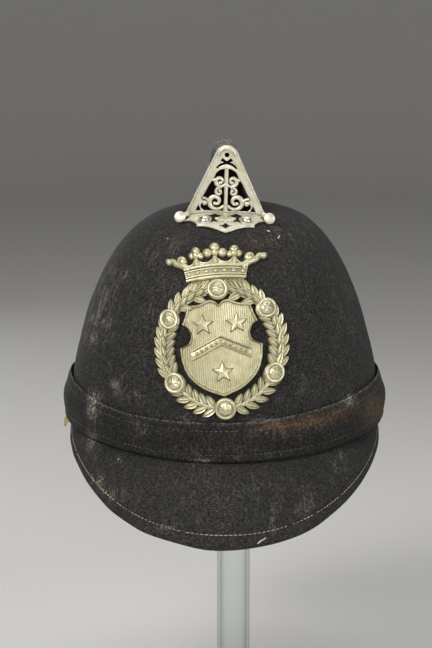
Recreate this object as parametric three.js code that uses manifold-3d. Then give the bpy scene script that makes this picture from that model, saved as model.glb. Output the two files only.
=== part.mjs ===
// A crested police helmet of dark wool cloth with pale metal fittings, held up by a clear stand.
// Sizes are in millimetres. +Z is up, the front faces -Y, and +X is on the viewer's right.
import * as THREE from 'three';
import { mergeVertices } from 'three/addons/utils/BufferGeometryUtils.js';
import { TessellateModifier } from 'three/addons/modifiers/TessellateModifier.js';
import Module from 'manifold-3d';

const wasm = await Module();
wasm.setup();

// Heights inside the helmet are measured from the front lower edge of the band.
const BRIM_HEIGHT = 208; // that edge above the table
const SEAT = 0.4; // gap kept between pieces that touch
const WELD = 1e-4; // points closer than this are one point

// Crown: a level section at each height, from the rim to the top, which leans a little to one side.
const CROWN_WALL = 3;
const CROWN_STRETCH = 1.2; // length of a section over its width
const CROWN_SIDES = 44;
const CROWN_OUTER_ROWS = 13;
const CROWN_INNER_ROWS = 8;
const CROWN_SECTIONS = [
  { height: -9, half: 95.8, shift: 0 },
  { height: 12, half: 98.6, shift: 0 },
  { height: 34, half: 99.8, shift: 0 },
  { height: 62, half: 93.6, shift: 0 },
  { height: 86, half: 86, shift: 0.2 },
  { height: 105, half: 77.6, shift: 0.5 },
  { height: 119, half: 68.2, shift: 1 },
  { height: 128, half: 60, shift: 1.5 },
  { height: 134.5, half: 51.8, shift: 1.9 },
  { height: 139.2, half: 42, shift: 2.1 },
  { height: 142.2, half: 30, shift: 2.2 },
  { height: 143.7, half: 15, shift: 2.2 },
  { height: 144.2, half: 0, shift: 2.2 },
];

// Band round the foot of the crown: its two edges, and how far off the crown and how thick it is
// across its height.
const BAND_TOP = { front: 24.5, side: 35, sharpness: 5 };
const BAND_FOOT = { front: 0, side: 5, sharpness: 2 };
const BAND_SECTIONS = [
  { across: 0, front: 0.6, side: 1.2, wall: 2.5 },
  { across: 0.14, front: 1.4, side: 4.8, wall: 2.5 },
  { across: 0.4, front: 1.2, side: 5, wall: 2.5 },
  { across: 0.75, front: 0.8, side: 2.2, wall: 2.1 },
  { across: 1, front: 0.6, side: 0.9, wall: 1.2 },
];

// Peaks: the outer edge is a rounded curve in plan that drops towards its tip.
const PEAK_WALL = 2.5;
const PEAK_HALF_WIDTH = 99.6;
const PEAK_ROUNDNESS = 2.2; // 2 would make the edge an ellipse in plan
const PEAK_SIDE_DROP = 3; // of the edge at the sides, below the front of the band
const PEAK_DROP_CURVE = 1.7; // how late the edge drops on its way to the tip
const PEAK_END_ANGLE = THREE.MathUtils.degToRad(89.3);
const PEAK_STEPS = 30;
const PEAK_ROWS = 5;
const PEAK_SEAM_GAP = 0.7; // from the crown and from the band
const PEAK_SHAPES = {
  front: { reach: 170, tipDrop: 38, bulge: 3 },
  back: { reach: 168, tipDrop: 42, bulge: 3 },
};

// Comb: cross sections from the front of the crest to its tail.
const COMB_STEPS = 13;
const COMB_GAP = 0.6; // between the comb and the crown
const COMB_EDGE = 0.9; // thickness of the comb at the edge of its foot
const COMB_SECTIONS = [
  { y: -40.8, ridge: 181.5, topHalf: 6.6, baseHalf: 18.5 },
  { y: -20, ridge: 185, topHalf: 7, baseHalf: 19.5 },
  { y: 10, ridge: 185, topHalf: 7, baseHalf: 19.5 },
  { y: 40, ridge: 178, topHalf: 7, baseHalf: 18 },
  { y: 65, ridge: 163.5, topHalf: 6.6, baseHalf: 15.5 },
  { y: 85, ridge: 142, topHalf: 6.2, baseHalf: 12.5 },
  { y: 97, ridge: 119, topHalf: 5.4, baseHalf: 9.5 },
  { y: 105, ridge: 92, topHalf: 4.2, baseHalf: 6.5 },
];

// Crest plate: an upright pierced triangle whose foot is bent forward over the crown. It leans a
// little to the viewer's right, with that end turned forward.
const CREST_SHIFT = 0.6; // of the middle of its fold, to the viewer's right
const CREST_FACE = -44.6; // y of its front face
const CREST_LEAN = THREE.MathUtils.degToRad(1.5);
const CREST_TURN = THREE.MathUtils.degToRad(3.5);
const CREST_WALL = 1.6;
const CREST_APEX = 184;
const CREST_APEX_RADIUS = 7.4;
const CREST_BASE_HALF = 25;
const CREST_FOOT_REACH = 22.5; // of the foot, forward of the fold
const CREST_BALL_RADIUS = 3.4;
const CREST_BALL_AT = { x: 28, forward: 0.4 };
const RIVET_AT = { x: 13, forward: 8.4 };
const RIVET_RADIUS = 3.2;
const RIVET_SIDES = 12;

// Badge: laid on the front of the crown, in sizes measured along the cloth from its middle.
const BADGE_HEIGHT = 78.3;
const BADGE_SHIFT = -2.7;
const BADGE_LEAN = THREE.MathUtils.degToRad(4);
const BADGE_EDGE_LENGTH = 13; // longest facet edge that still follows the crown

const WREATH = { middle: -11.4, halfWidth: 35.4, halfHeight: 36, steps: 30 };
const BOSS_ANGLES = [0, 60, 127, 180, 240, 304]; // round the wreath from its foot, in degrees
const BOSS_RADIUS = 5.7;
const BOSS_HEIGHT = 3.4;
const BOSS_SEAT_TOP = 2;
const BOSS_SIDES = 10;
const LEAF_STATIONS = [
  { along: 0, half: 0.3, ridge: 0.75 },
  { along: 0.45, half: 1, ridge: 1 },
  { along: 1, half: 0.08, ridge: 0.5 },
];
// Stretches of laurel between the bosses, by their angles from the foot up either side.
const LAUREL = [
  { right: [14, 45], left: [14, 41], rows: 4, length: 10, half: 2.6, splay: 50, middle: false, stem: 1.4 },
  { right: [68, 112], left: [64, 105], rows: 4, length: 12.5, half: 3.2, splay: 30, middle: true, stem: 4 },
  { right: [138, 160], left: [131, 158], rows: 3, length: 10, half: 2.6, splay: 40, middle: false, stem: 2 },
];
const LEAF_RIDGE = 2.8; // height of a leaf's midrib above the cloth
const STEM_HEIGHT = 1.4;

const CORONET_RIM = { foot: 31.6, footArch: 1.2, height: 7.6, arch: 1.6, half: 18.6, flare: 0.1, steps: 8 };
const RIM_MOULDING = [
  { across: 0, out: 2.2 },
  { across: 0.24, out: 2.2 },
  { across: 0.3, out: 1.3 },
  { across: 0.7, out: 1.3 },
  { across: 0.76, out: 2.4 },
  { across: 1, out: 2.4 },
];
const CORONET_PEARLS = 7;
const PEARL_RADIUS = 1.2;
const PEARL_SIDES = 6;
const CORONET_STALK = 1.7; // height of a stalk's face above the cloth
const FINIAL_FLARE = 4.6;
const CORONET_FINIALS = [
  { u: 0, stem: 9, top: 2.9, side: 2.4, spread: 4.4 },
  { u: -11.6, stem: 8, top: 2.4, side: 1.9, spread: 2.2 },
  { u: 11.6, stem: 8, top: 2.4, side: 1.9, spread: 2.2 },
];
const CORONET_END = { knob: { u: 20.4, v: 45.4, radius: 2.3 }, tip: { u: 29.6, v: 44.4, radius: 1.2 } };

const SHIELD_BASE = 1.2;
const SHIELD_RIM = 2.2;
const SHIELD_RIM_SCALE = 0.93;
const SHIELD_CHARGE = 2;
const SHIELD_MIDDLE = -11;
const STARS = [
  { u: -10, v: 3 },
  { u: 10, v: 3 },
  { u: 0, v: -26 },
];
const STAR_RADIUS = 5.4;

// Hook of bent brass strip on the viewer's left.
const HOOK = { width: 7, strip: 1.3, top: 2.2, height: 8.4, reach: 4.4, lip: 3 };

// Clear stand.
const POST = { x: 6, outer: 11, inner: 9, sides: 20 };
const STAND_BASE = { radius: 80, height: 8, sides: 32, edge: 1.2 };
const STAND_HEAD = { rows: 2, foot: 124, sides: CROWN_SIDES / 2 };

const CLOTH = { color: 0x26262b, roughness: 0.95, metalness: 0 };
const DUSTY_CLOTH = { color: 0x3a3838, roughness: 0.95, metalness: 0 };
const PALE_METAL = { color: 0xd2cca8, roughness: 0.35, metalness: 0.9 };
const BRIGHT_METAL = { color: 0xdedad0, roughness: 0.2, metalness: 1 };
const BRASS = { color: 0xb08a3a, roughness: 0.35, metalness: 1 };
const ACRYLIC = { color: 0xe4eaea, roughness: 0.08, metalness: 0 };

// Makes a closed geometry from points and triangles, with its faces pointing out.
function skin(points, faces) {
  const loose = new THREE.BufferGeometry().setFromPoints(points);
  loose.setIndex(faces.flat());
  const geometry = mergeVertices(loose, WELD);
  const corner = (k) => new THREE.Vector3().fromBufferAttribute(geometry.attributes.position, k);
  const kept = [];
  let volume = 0;
  for (let i = 0; i < geometry.index.count; i += 3) {
    const [a, b, c] = geometry.index.array.slice(i, i + 3);
    if (a === b || b === c || c === a) continue;
    kept.push([a, b, c]);
    volume += corner(a).dot(corner(b).cross(corner(c)));
  }
  geometry.setIndex((volume > 0 ? kept : kept.map((face) => face.reverse())).flat());
  return geometry;
}

// Skins a row of equal loops. The row closes on itself as a ring, or ends in caps that join each
// point of the end loop to the one across from it.
function loft(loops, ring = false) {
  const size = loops[0].length;
  const faces = [];
  const quad = (a, b, c, d) => faces.push([a, b, c], [a, c, d]);
  for (let i = 0; i < loops.length - (ring ? 0 : 1); i += 1) {
    const here = i * size;
    const next = ((i + 1) % loops.length) * size;
    for (let j = 0; j < size; j += 1) {
      const k = (j + 1) % size;
      quad(here + j, next + j, next + k, here + k);
    }
  }
  if (!ring) {
    const end = (loops.length - 1) * size;
    for (let j = 0; j < size / 2 - 1; j += 1) {
      const across = size - 1 - j;
      quad(j, j + 1, across - 1, across);
      quad(end + across, end + across - 1, end + j + 1, end + j);
    }
  }
  return skin(loops.flat(), faces);
}

// The same from a ready-made geometry, which may have seams and poles.
function closedSkin(geometry) {
  const { position } = geometry.attributes;
  const corners = geometry.index ? Array.from(geometry.index.array) : [...Array(position.count).keys()];
  const points = corners.map((k) => new THREE.Vector3().fromBufferAttribute(position, k));
  const faces = [];
  for (let i = 0; i < corners.length; i += 3) faces.push([i, i + 1, i + 2]);
  return skin(points, faces);
}

// Joins and cuts closed geometries.
function welded(geometry) {
  const bare = new THREE.BufferGeometry();
  bare.setAttribute('position', geometry.attributes.position.clone());
  bare.setIndex(geometry.index);
  return mergeVertices(bare, WELD);
}

function toManifold(geometry) {
  const closed = welded(geometry);
  const vertProperties = new Float32Array(closed.attributes.position.array);
  const triVerts = new Uint32Array(closed.index.array);
  return new wasm.Manifold(new wasm.Mesh({ numProp: 3, vertProperties, triVerts }));
}

function fromManifold(manifold) {
  const mesh = manifold.getMesh();
  const geometry = new THREE.BufferGeometry();
  geometry.setAttribute('position', new THREE.BufferAttribute(mesh.vertProperties, 3));
  geometry.setIndex(new THREE.BufferAttribute(mesh.triVerts, 1));
  return geometry;
}

function join(geometries) {
  return geometries.map(toManifold).reduce((sum, next) => sum.add(next));
}

function plate(shape, low, high) {
  const depth = high - low;
  const geometry = new THREE.ExtrudeGeometry(shape, { depth, bevelEnabled: false, curveSegments: 7 });
  return closedSkin(geometry.translate(0, 0, low));
}

// Moves every point of a flat relief to its place on a curved surface, after splitting long edges.
function drape(manifold, place, edgeLength) {
  const fine = new TessellateModifier(edgeLength, 12).modify(fromManifold(manifold));
  const { position } = fine.attributes;
  for (let i = 0; i < position.count; i += 1) {
    const moved = place(position.getX(i), position.getY(i), position.getZ(i));
    position.setXYZ(i, moved.x, moved.y, moved.z);
  }
  return closedSkin(fine);
}

// The crown's outer surface. Angle 0 is the front, and grows towards the viewer's right.
const sectionPoints = CROWN_SECTIONS.map((row) => new THREE.Vector3(row.half, row.height, row.shift));
const profile = new THREE.CatmullRomCurve3(sectionPoints).getSpacedPoints(500);

function profileStep(test) {
  const found = profile.findIndex(test);
  return THREE.MathUtils.clamp(found < 0 ? profile.length - 1 : found, 1, profile.length - 1);
}

function profileAt(height) {
  const step = profileStep((point) => point.y >= height);
  const [low, high] = [profile[step - 1], profile[step]];
  const part = (height - low.y) / (high.y - low.y);
  const half = Math.max(low.x + (high.x - low.x) * part, 0);
  const shift = low.z + (high.z - low.z) * part;
  return { half, shift, run: high.x - low.x, climb: high.y - low.y };
}

function crownPoint(angle, height, offset = 0) {
  const { half, shift, run, climb } = profileAt(height);
  const [sin, cos] = [Math.sin(angle), Math.cos(angle)];
  const normal = new THREE.Vector3(climb * sin, (-climb * cos) / CROWN_STRETCH, -run).normalize();
  const point = new THREE.Vector3(shift + half * sin, -CROWN_STRETCH * half * cos, height);
  return point.addScaledVector(normal, offset);
}

// The point of the crown's upper part that lies over a point in plan.
function crownOver(x, y, offset = 0) {
  const halfAt = (point) => Math.hypot(x - point.z, y / CROWN_STRETCH);
  const step = profileStep((point) => point.y > BAND_TOP.side && point.x <= halfAt(point));
  const [low, high] = [profile[step - 1], profile[step]];
  const half = halfAt(high);
  const height = low.y + ((high.y - low.y) * (half - low.x)) / (high.x - low.x);
  return crownPoint(Math.atan2(x - high.z, -y / CROWN_STRETCH), height, offset);
}

function ringOfAngles(count) {
  return Array.from({ length: count }, (unused, k) => (2 * Math.PI * k) / count);
}

function crownRow(part, offset, sides = CROWN_SIDES) {
  const { y: height } = profile[Math.round(part * (profile.length - 1))];
  return ringOfAngles(sides).map((angle) => crownPoint(angle, height, offset));
}

function makeCrown() {
  const loops = [];
  for (let k = CROWN_OUTER_ROWS; k >= 0; k -= 1) loops.push(crownRow(k / CROWN_OUTER_ROWS, 0));
  for (let k = 0; k <= CROWN_INNER_ROWS; k += 1) loops.push(crownRow(k / CROWN_INNER_ROWS, -CROWN_WALL));
  return loft(loops);
}

function edgeHeight(edge, angle) {
  return edge.front + (edge.side - edge.front) * Math.abs(Math.sin(angle)) ** edge.sharpness;
}

function makeBand() {
  const loops = ringOfAngles(CROWN_SIDES).map((angle) => {
    const foot = edgeHeight(BAND_FOOT, angle);
    const top = edgeHeight(BAND_TOP, angle);
    const sideways = Math.sin(angle) ** 4;
    const row = ({ across, front, side, wall }, layer) => {
      const height = THREE.MathUtils.lerp(foot, top, across);
      return crownPoint(angle, height, THREE.MathUtils.lerp(front, side, sideways) + layer * wall);
    };
    const inside = BAND_SECTIONS.map((section) => row(section, 0));
    const outside = BAND_SECTIONS.map((section) => row(section, 1));
    return [...outside, ...inside.reverse()];
  });
  return loft(loops, true);
}

// A peak hangs from the crown just under the band. Its middle surface runs from that seam to its edge.
function makePeak({ reach, tipDrop, bulge }, heading) {
  const seamOffset = PEAK_WALL / 2 + PEAK_SEAM_GAP;
  const seam = (angle) => {
    return crownPoint(angle, edgeHeight(BAND_FOOT, angle) - seamOffset, seamOffset);
  };
  const edge = (angle) => {
    const bend = (value) => Math.sign(value) * Math.abs(value) ** (2 / PEAK_ROUNDNESS);
    const x = PEAK_HALF_WIDTH * bend(Math.sin(angle));
    const y = -reach * bend(Math.cos(angle));
    const lateness = Math.abs(y / reach) ** PEAK_DROP_CURVE;
    return new THREE.Vector3(x, y, -THREE.MathUtils.lerp(PEAK_SIDE_DROP, tipDrop, lateness));
  };
  const loops = [];
  for (let k = 0; k <= PEAK_STEPS; k += 1) {
    const turn = THREE.MathUtils.lerp(-PEAK_END_ANGLE, PEAK_END_ANGLE, k / PEAK_STEPS);
    const angle = heading + turn;
    const slope = edge(angle).sub(seam(angle));
    const along = edge(angle + 0.01).sub(edge(angle - 0.01));
    const normal = new THREE.Vector3().crossVectors(slope, along).normalize();
    const row = (part, side) => {
      const rise = 4 * part * (1 - part) * bulge * Math.cos(turn);
      return seam(angle).addScaledVector(slope, part).addScaledVector(normal, rise + side);
    };
    const parts = Array.from({ length: PEAK_ROWS }, (unused, j) => j / (PEAK_ROWS - 1));
    const over = parts.map((part) => row(part, PEAK_WALL / 2));
    const under = parts.map((part) => row(part, -PEAK_WALL / 2));
    loops.push([...over, ...under.reverse()]);
  }
  return loft(loops);
}

// One section of the comb: a rounded ridge on flared sides, over a foot that follows the crown.
function combLoop({ y, ridge, topHalf, baseHalf }) {
  const floor = (x) => {
    const { z } = crownOver(x, y);
    const steepness = crownOver(x, y, 1).z - z;
    return z + COMB_GAP / steepness;
  };
  const rise = (x, part) => {
    const base = floor(Math.sign(x) * baseHalf) + COMB_EDGE;
    return new THREE.Vector3(x, y, THREE.MathUtils.lerp(base, ridge, part));
  };
  const waist = topHalf + 0.38 * (baseHalf - topHalf);
  const flank = [[0.55 * topHalf, 0.975], [topHalf, 0.87], [waist, 0.4], [baseHalf, 0]];
  const left = flank.map(([x, part]) => rise(-x, part)).reverse();
  const right = flank.map(([x, part]) => rise(x, part));
  const over = [...left, rise(0, 1), ...right];
  const under = over.map(({ x }) => new THREE.Vector3(x, y, floor(x)));
  return [...over, ...under.reverse()];
}

function makeComb() {
  const columns = Object.keys(COMB_SECTIONS[0]);
  const curves = columns.map((name) => new THREE.SplineCurve(
    COMB_SECTIONS.map((row, k) => new THREE.Vector2(k, row[name])),
  ));
  const loops = [];
  for (let k = 0; k < COMB_STEPS; k += 1) {
    const values = curves.map((curve) => curve.getPoint(k / (COMB_STEPS - 1)).y);
    loops.push(combLoop(Object.fromEntries(columns.map((name, j) => [name, values[j]]))));
  }
  return loft(loops);
}

// Flat outlines
function outline(points) {
  return new THREE.Shape(points.map(([x, y]) => new THREE.Vector2(x, y)));
}

function mirrored(half) {
  return [...half, ...half.map(([x, y]) => [-x, y]).reverse()];
}

function disc(x, y, radius) {
  return new THREE.Shape().absarc(x, y, radius, 0, 2 * Math.PI, false);
}

// A bar of even width along a flat curve.
function stroke(points, width) {
  const curve = points.map(([x, y]) => new THREE.Vector2(x, y));
  const sides = [1, -1].map((side) => curve.map((point, k) => {
    const before = curve[Math.max(k - 1, 0)];
    const after = curve[Math.min(k + 1, curve.length - 1)];
    const across = after.clone().sub(before).normalize().rotateAround(new THREE.Vector2(), Math.PI / 2);
    return point.clone().addScaledVector(across, (side * width) / 2);
  }));
  return new THREE.Shape([...sides[0], ...sides[1].reverse()]);
}

// A scroll winds inwards from its outer end, by turns of a circle.
function scroll({ x, y, outer, inner, start, turns, steps = 8 }, flip) {
  return Array.from({ length: steps + 1 }, (unused, k) => {
    const part = k / steps;
    const angle = THREE.MathUtils.degToRad(start) + 2 * Math.PI * turns * part;
    const radius = THREE.MathUtils.lerp(outer, inner, part);
    return [flip * (x + radius * Math.cos(angle)), y + radius * Math.sin(angle)];
  });
}

// The crest plate has a plan of its own: x across, and forward of its fold.
function onCrestFoot(x, forward, offset = 0) {
  const spot = new THREE.Vector2(x, -forward).rotateAround(new THREE.Vector2(), -CREST_TURN);
  return crownOver(CREST_SHIFT + spot.x, CREST_FACE + spot.y, offset);
}

const CREST_FOLD = onCrestFoot(0, 0).z; // height of the fold on the middle line
const CREST_SCROLLS = [
  { x: 6.4, y: 8.6, outer: 5.2, inner: 1.6, start: 215, turns: 1.2 },
  { x: 3.6, y: 20.6, outer: 3.4, inner: 1.1, start: 200, turns: 1.1 },
];
const CREST_BAR = 1.9; // width of a bar of the scrollwork
const CREST_SLOT = 1.3; // width of the crossed slots above it
const CREST_BAR_RECESS = 0.15;

// The upright part, drawn flat: x across and y up from the fold.
function makeCrestUpright() {
  const apex = CREST_APEX - CREST_FOLD;
  const shoulder = apex - CREST_APEX_RADIUS;
  const legs = [[CREST_BASE_HALF, 0.4], [CREST_APEX_RADIUS * 0.94, shoulder + CREST_APEX_RADIUS * 0.34]];
  const arc = [50, 70].map((degrees) => {
    const angle = THREE.MathUtils.degToRad(degrees);
    return [CREST_APEX_RADIUS * Math.cos(angle), shoulder + CREST_APEX_RADIUS * Math.sin(angle)];
  });
  const foot = [-1, -0.76, -0.4, 0.4, 0.76, 1].map((part) => {
    const x = part * CREST_BASE_HALF;
    return [x, onCrestFoot(x, 0).z - CREST_FOLD + 1 + x * Math.tan(CREST_LEAN)];
  });
  const face = outline([...foot, ...mirrored([...legs, ...arc])]);

  const window = outline(mirrored([[16.6, 3.4], [12.6, 12.4], [7.4, 22.6], [4.6, 26.6], [1.8, 28.2]]));
  const corners = [1, -1].map((side) => outline([[side * 18, 3.2], [side * 21, 3.2], [side * 18.4, 7.6]]));
  const cross = [1, -1].map((side) => stroke(
    [[side * 3.4, 34.1], [0, 32.5], [-side * 3.4, 31.2], [-side * 5.8, 29]],
    CREST_SLOT,
  ));
  const eye = disc(0, 36.6, CREST_SLOT);
  const cuts = [window, ...corners, ...cross, eye];
  const pierced = cuts.reduce(
    (left, cut) => left.subtract(toManifold(plate(cut, -1, CREST_WALL + 1))),
    toManifold(plate(face, 0, CREST_WALL)),
  );

  const lozenge = outline([[-2.8, 15], [0, 10.6], [2.8, 15], [0, 19.4]]);
  const bars = [stroke([[0, 2], [0, 29]], CREST_BAR), lozenge];
  for (const side of [1, -1]) {
    for (const shape of CREST_SCROLLS) bars.push(stroke(scroll(shape, side), CREST_BAR));
    bars.push(stroke([[side * 10.8, 8.4], [side * 13.6, 10.8]], CREST_BAR));
    bars.push(stroke([[side * 6.2, 21.6], [side * 8.4, 21.6]], CREST_BAR));
  }
  const [low, high] = [CREST_BAR_RECESS, CREST_WALL - CREST_BAR_RECESS];
  return bars.reduce((sum, bar) => sum.add(toManifold(plate(bar, low, high))), pierced);
}

// The foot, drawn flat in plan: x across and y forward of the fold.
function makeCrestFoot() {
  const half = [
    [0, CREST_FOOT_REACH], [6, 19.5], [12, 16.2], [18, 13.6], [19.4, 9.4], [22.3, 5.8], [25.5, 4],
    [CREST_BALL_AT.x, 3], [CREST_BALL_AT.x, -CREST_WALL],
  ];
  const face = outline(mirrored(half.slice(1)).concat([half[0]]));
  const eye = [[2.6, 4.9], [6.4, 1.4], [10.4, 3.2], [8, 6], [8.4, 10.8], [5.4, 8.2]];
  const eyes = [1, -1].map((side) => outline(eye.map(([x, forward]) => [side * x, forward])));
  const lozenge = outline([[-3.6, 16], [0, 13.6], [3.6, 16], [0, 18.2]]);
  return [...eyes, lozenge].reduce(
    (left, cut) => left.subtract(toManifold(plate(cut, -1, 4))),
    toManifold(plate(face, SEAT, SEAT + CREST_WALL)),
  );
}

function makeCrestPlate() {
  const upright = fromManifold(makeCrestUpright());
  upright.rotateZ(-CREST_LEAN).rotateX(Math.PI / 2).translate(0, CREST_WALL, 0);
  upright.rotateZ(-CREST_TURN).translate(CREST_SHIFT, CREST_FACE, CREST_FOLD);
  const foot = drape(makeCrestFoot(), onCrestFoot, BADGE_EDGE_LENGTH);
  const balls = [1, -1].map((side) => {
    const place = onCrestFoot(side * CREST_BALL_AT.x, CREST_BALL_AT.forward, CREST_BALL_RADIUS + SEAT);
    const ball = closedSkin(new THREE.SphereGeometry(CREST_BALL_RADIUS, 9, 6));
    return ball.translate(place.x, place.y, place.z);
  });
  return fromManifold(join([upright, foot, ...balls]));
}

// A round stud turned from a half profile, standing on z = 0.
function stud(rows, sides) {
  const points = rows.map(([radius, height]) => new THREE.Vector2(radius, height));
  return closedSkin(new THREE.LatheGeometry(points, sides).rotateX(Math.PI / 2));
}

function makeRivet(side) {
  const dome = [[0, 0], [RIVET_RADIUS, 0], [RIVET_RADIUS, 0.6], [0.8 * RIVET_RADIUS, 1.4], [0, 2]];
  const lift = CREST_WALL + 2 * SEAT;
  const place = (x, y, z) => onCrestFoot(side * RIVET_AT.x + x, RIVET_AT.forward + y, lift + z);
  return drape(toManifold(stud(dome, RIVET_SIDES)), place, BADGE_EDGE_LENGTH);
}

// Lays the badge on the crown: u to the viewer's right, v up along the cloth, w out from it.
const frontLengths = [0];
for (let k = 1; k < profile.length; k += 1) {
  const step = profile[k].clone().sub(profile[k - 1]);
  frontLengths.push(frontLengths[k - 1] + Math.hypot(CROWN_STRETCH * step.x, step.y));
}
const badgeLength = frontLengths[profileStep((point) => point.y >= BADGE_HEIGHT)];

function heightAlongFront(length) {
  const target = badgeLength + length;
  const step = frontLengths.findIndex((value) => value >= target);
  const part = (target - frontLengths[step - 1]) / (frontLengths[step] - frontLengths[step - 1]);
  return THREE.MathUtils.lerp(profile[step - 1].y, profile[step].y, part);
}

function angleAlongSection(height, length) {
  const { half } = profileAt(height);
  const steps = 12;
  let angle = 0;
  for (let k = 0; k < steps; k += 1) {
    angle += length / steps / Math.hypot(half * Math.cos(angle), CROWN_STRETCH * half * Math.sin(angle));
  }
  return angle;
}

function onBadge(u, v, w) {
  const right = BADGE_SHIFT + u * Math.cos(BADGE_LEAN) - v * Math.sin(BADGE_LEAN);
  const height = heightAlongFront(u * Math.sin(BADGE_LEAN) + v * Math.cos(BADGE_LEAN));
  return crownPoint(angleAlongSection(height, right), height, w);
}

function wreathPoint(degrees) {
  const angle = THREE.MathUtils.degToRad(degrees);
  return new THREE.Vector2(
    WREATH.halfWidth * Math.sin(angle),
    WREATH.middle - WREATH.halfHeight * Math.cos(angle),
  );
}

function wreathHeading(degrees) {
  const step = wreathPoint(degrees + 1).sub(wreathPoint(degrees - 1));
  return Math.atan2(step.y, step.x);
}

// A pointed leaf with a raised midrib, growing from a root along a heading.
function leaf(root, heading, { length, half }) {
  const along = new THREE.Vector2(Math.cos(heading), Math.sin(heading));
  const across = new THREE.Vector2(-along.y, along.x);
  const loops = LEAF_STATIONS.map((station) => {
    const middle = root.clone().addScaledVector(along, station.along * length);
    const at = (side, w) => {
      const point = middle.clone().addScaledVector(across, side * station.half * half);
      return new THREE.Vector3(point.x, point.y, w);
    };
    return [at(-1, SEAT), at(0, LEAF_RIDGE * station.ridge), at(1, SEAT)];
  });
  return loft(loops);
}

function laurelStretch({ right, left, rows, length, half, splay, middle }, side) {
  const leaves = [];
  const [from, to] = side > 0 ? right : left;
  const turn = THREE.MathUtils.degToRad(splay);
  for (let k = 0; k < rows; k += 1) {
    const degrees = side * THREE.MathUtils.lerp(from, to, k / (rows - 1));
    const root = wreathPoint(degrees);
    const heading = wreathHeading(degrees) + (side < 0 ? Math.PI : 0);
    leaves.push(leaf(root, heading + turn, { length, half }));
    leaves.push(leaf(root, heading - turn, { length, half }));
    if (middle) leaves.push(leaf(root, heading, { length, half: half * 0.9 }));
  }
  return leaves;
}

// The stem of the wreath: a flat ring that is wide behind the dense leaves of the flanks.
function wreathStem() {
  const loops = [];
  for (let k = 0; k < WREATH.steps; k += 1) {
    const degrees = (360 * k) / WREATH.steps;
    const fromFoot = degrees > 180 ? 360 - degrees : degrees;
    const stretch = LAUREL.find((row) => fromFoot < row.left[1] + 13) ?? LAUREL[LAUREL.length - 1];
    const heading = wreathHeading(degrees);
    const across = new THREE.Vector2(-Math.sin(heading), Math.cos(heading));
    const at = (side, w) => {
      const point = wreathPoint(degrees).addScaledVector(across, side * stretch.stem);
      return new THREE.Vector3(point.x, point.y, w);
    };
    loops.push([at(-1, SEAT), at(-1, STEM_HEIGHT), at(1, STEM_HEIGHT), at(1, SEAT)]);
  }
  return loft(loops, true);
}

// The shield has two lobes over a notch, a round bite in each side, and a point below.
function shieldOutline(scale = 1, grow = 0) {
  const notch = [0, 15.2];
  const right = [
    [2.6, 17.6], [6, 18.2], [12, 15.6], [18.8, 14.8], [20.4, 9], [22.6, 3.6],
    [19.4, 1.2], [17.6, -3.4], [19.2, -8], [24.9, -11], [23.8, -19.5], [20.6, -27.5], [12, -35.4],
  ];
  const tip = [0, -40.4];
  const left = right.map(([u, v]) => [-u, v]).reverse();
  const grown = [notch, ...right, tip, ...left].map(([u, v]) => {
    const rise = v - SHIELD_MIDDLE;
    const factor = scale * (1 + grow / Math.hypot(u, rise));
    return [u * factor, SHIELD_MIDDLE + rise * factor];
  });
  return outline(grown);
}

function makeWreath() {
  const pieces = [wreathStem()];
  for (const stretch of LAUREL) {
    pieces.push(...laurelStretch(stretch, 1), ...laurelStretch(stretch, -1));
  }
  for (const degrees of BOSS_ANGLES) {
    const { x, y } = wreathPoint(degrees);
    pieces.push(plate(disc(x, y, BOSS_RADIUS + 0.4), SEAT, BOSS_SEAT_TOP));
  }
  const neck = outline([[-14.4, 23], [14.4, 23], [15.6, 30.6], [0, CORONET_RIM.foot], [-15.6, 30.6]]);
  pieces.push(plate(neck, SEAT, STEM_HEIGHT));
  const rooms = [plate(shieldOutline(1, SEAT), -1, 2 * LEAF_RIDGE)];
  for (const degrees of BOSS_ANGLES) {
    const { x, y } = wreathPoint(degrees);
    rooms.push(plate(disc(x, y, BOSS_RADIUS + SEAT), BOSS_SEAT_TOP, 2 * LEAF_RIDGE));
  }
  return drape(join(pieces).subtract(join(rooms)), onBadge, BADGE_EDGE_LENGTH);
}

function makeBoss(degrees) {
  const rim = BOSS_RADIUS;
  const rows = [
    [0, 0], [rim, 0], [rim, 1.3], [0.74 * rim, 1],
    [0.5 * rim, 0.8 * BOSS_HEIGHT], [0, BOSS_HEIGHT],
  ];
  const { x, y } = wreathPoint(degrees);
  const place = (u, v, w) => onBadge(x + u, y + v, BOSS_SEAT_TOP + SEAT + w);
  return drape(toManifold(stud(rows, BOSS_SIDES)), place, BADGE_EDGE_LENGTH);
}

// A low round pearl, and a finial of three pearls on a stem that flares at its root.
function pearl(u, v, radius) {
  const rows = [[0, 0], [1, 0], [1, 0.7], [0.6, 1.3], [0, 1.5]];
  const dome = rows.map(([across, rise]) => [across * radius, rise * radius]);
  return stud(dome, PEARL_SIDES).translate(u, v, SEAT);
}

function finial({ u, stem, top, side, spread }, root) {
  const tip = root + stem;
  const sink = root - 0.6;
  const half = [[FINIAL_FLARE, sink], [1.4, root + 2], [1, tip]];
  const stalk = outline(mirrored(half).map(([x, v]) => [u + x, v]));
  return [
    plate(stalk, SEAT, CORONET_STALK),
    pearl(u, tip + 0.7 * top, top),
    pearl(u - spread, tip, side),
    pearl(u + spread, tip, side),
  ];
}

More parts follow.
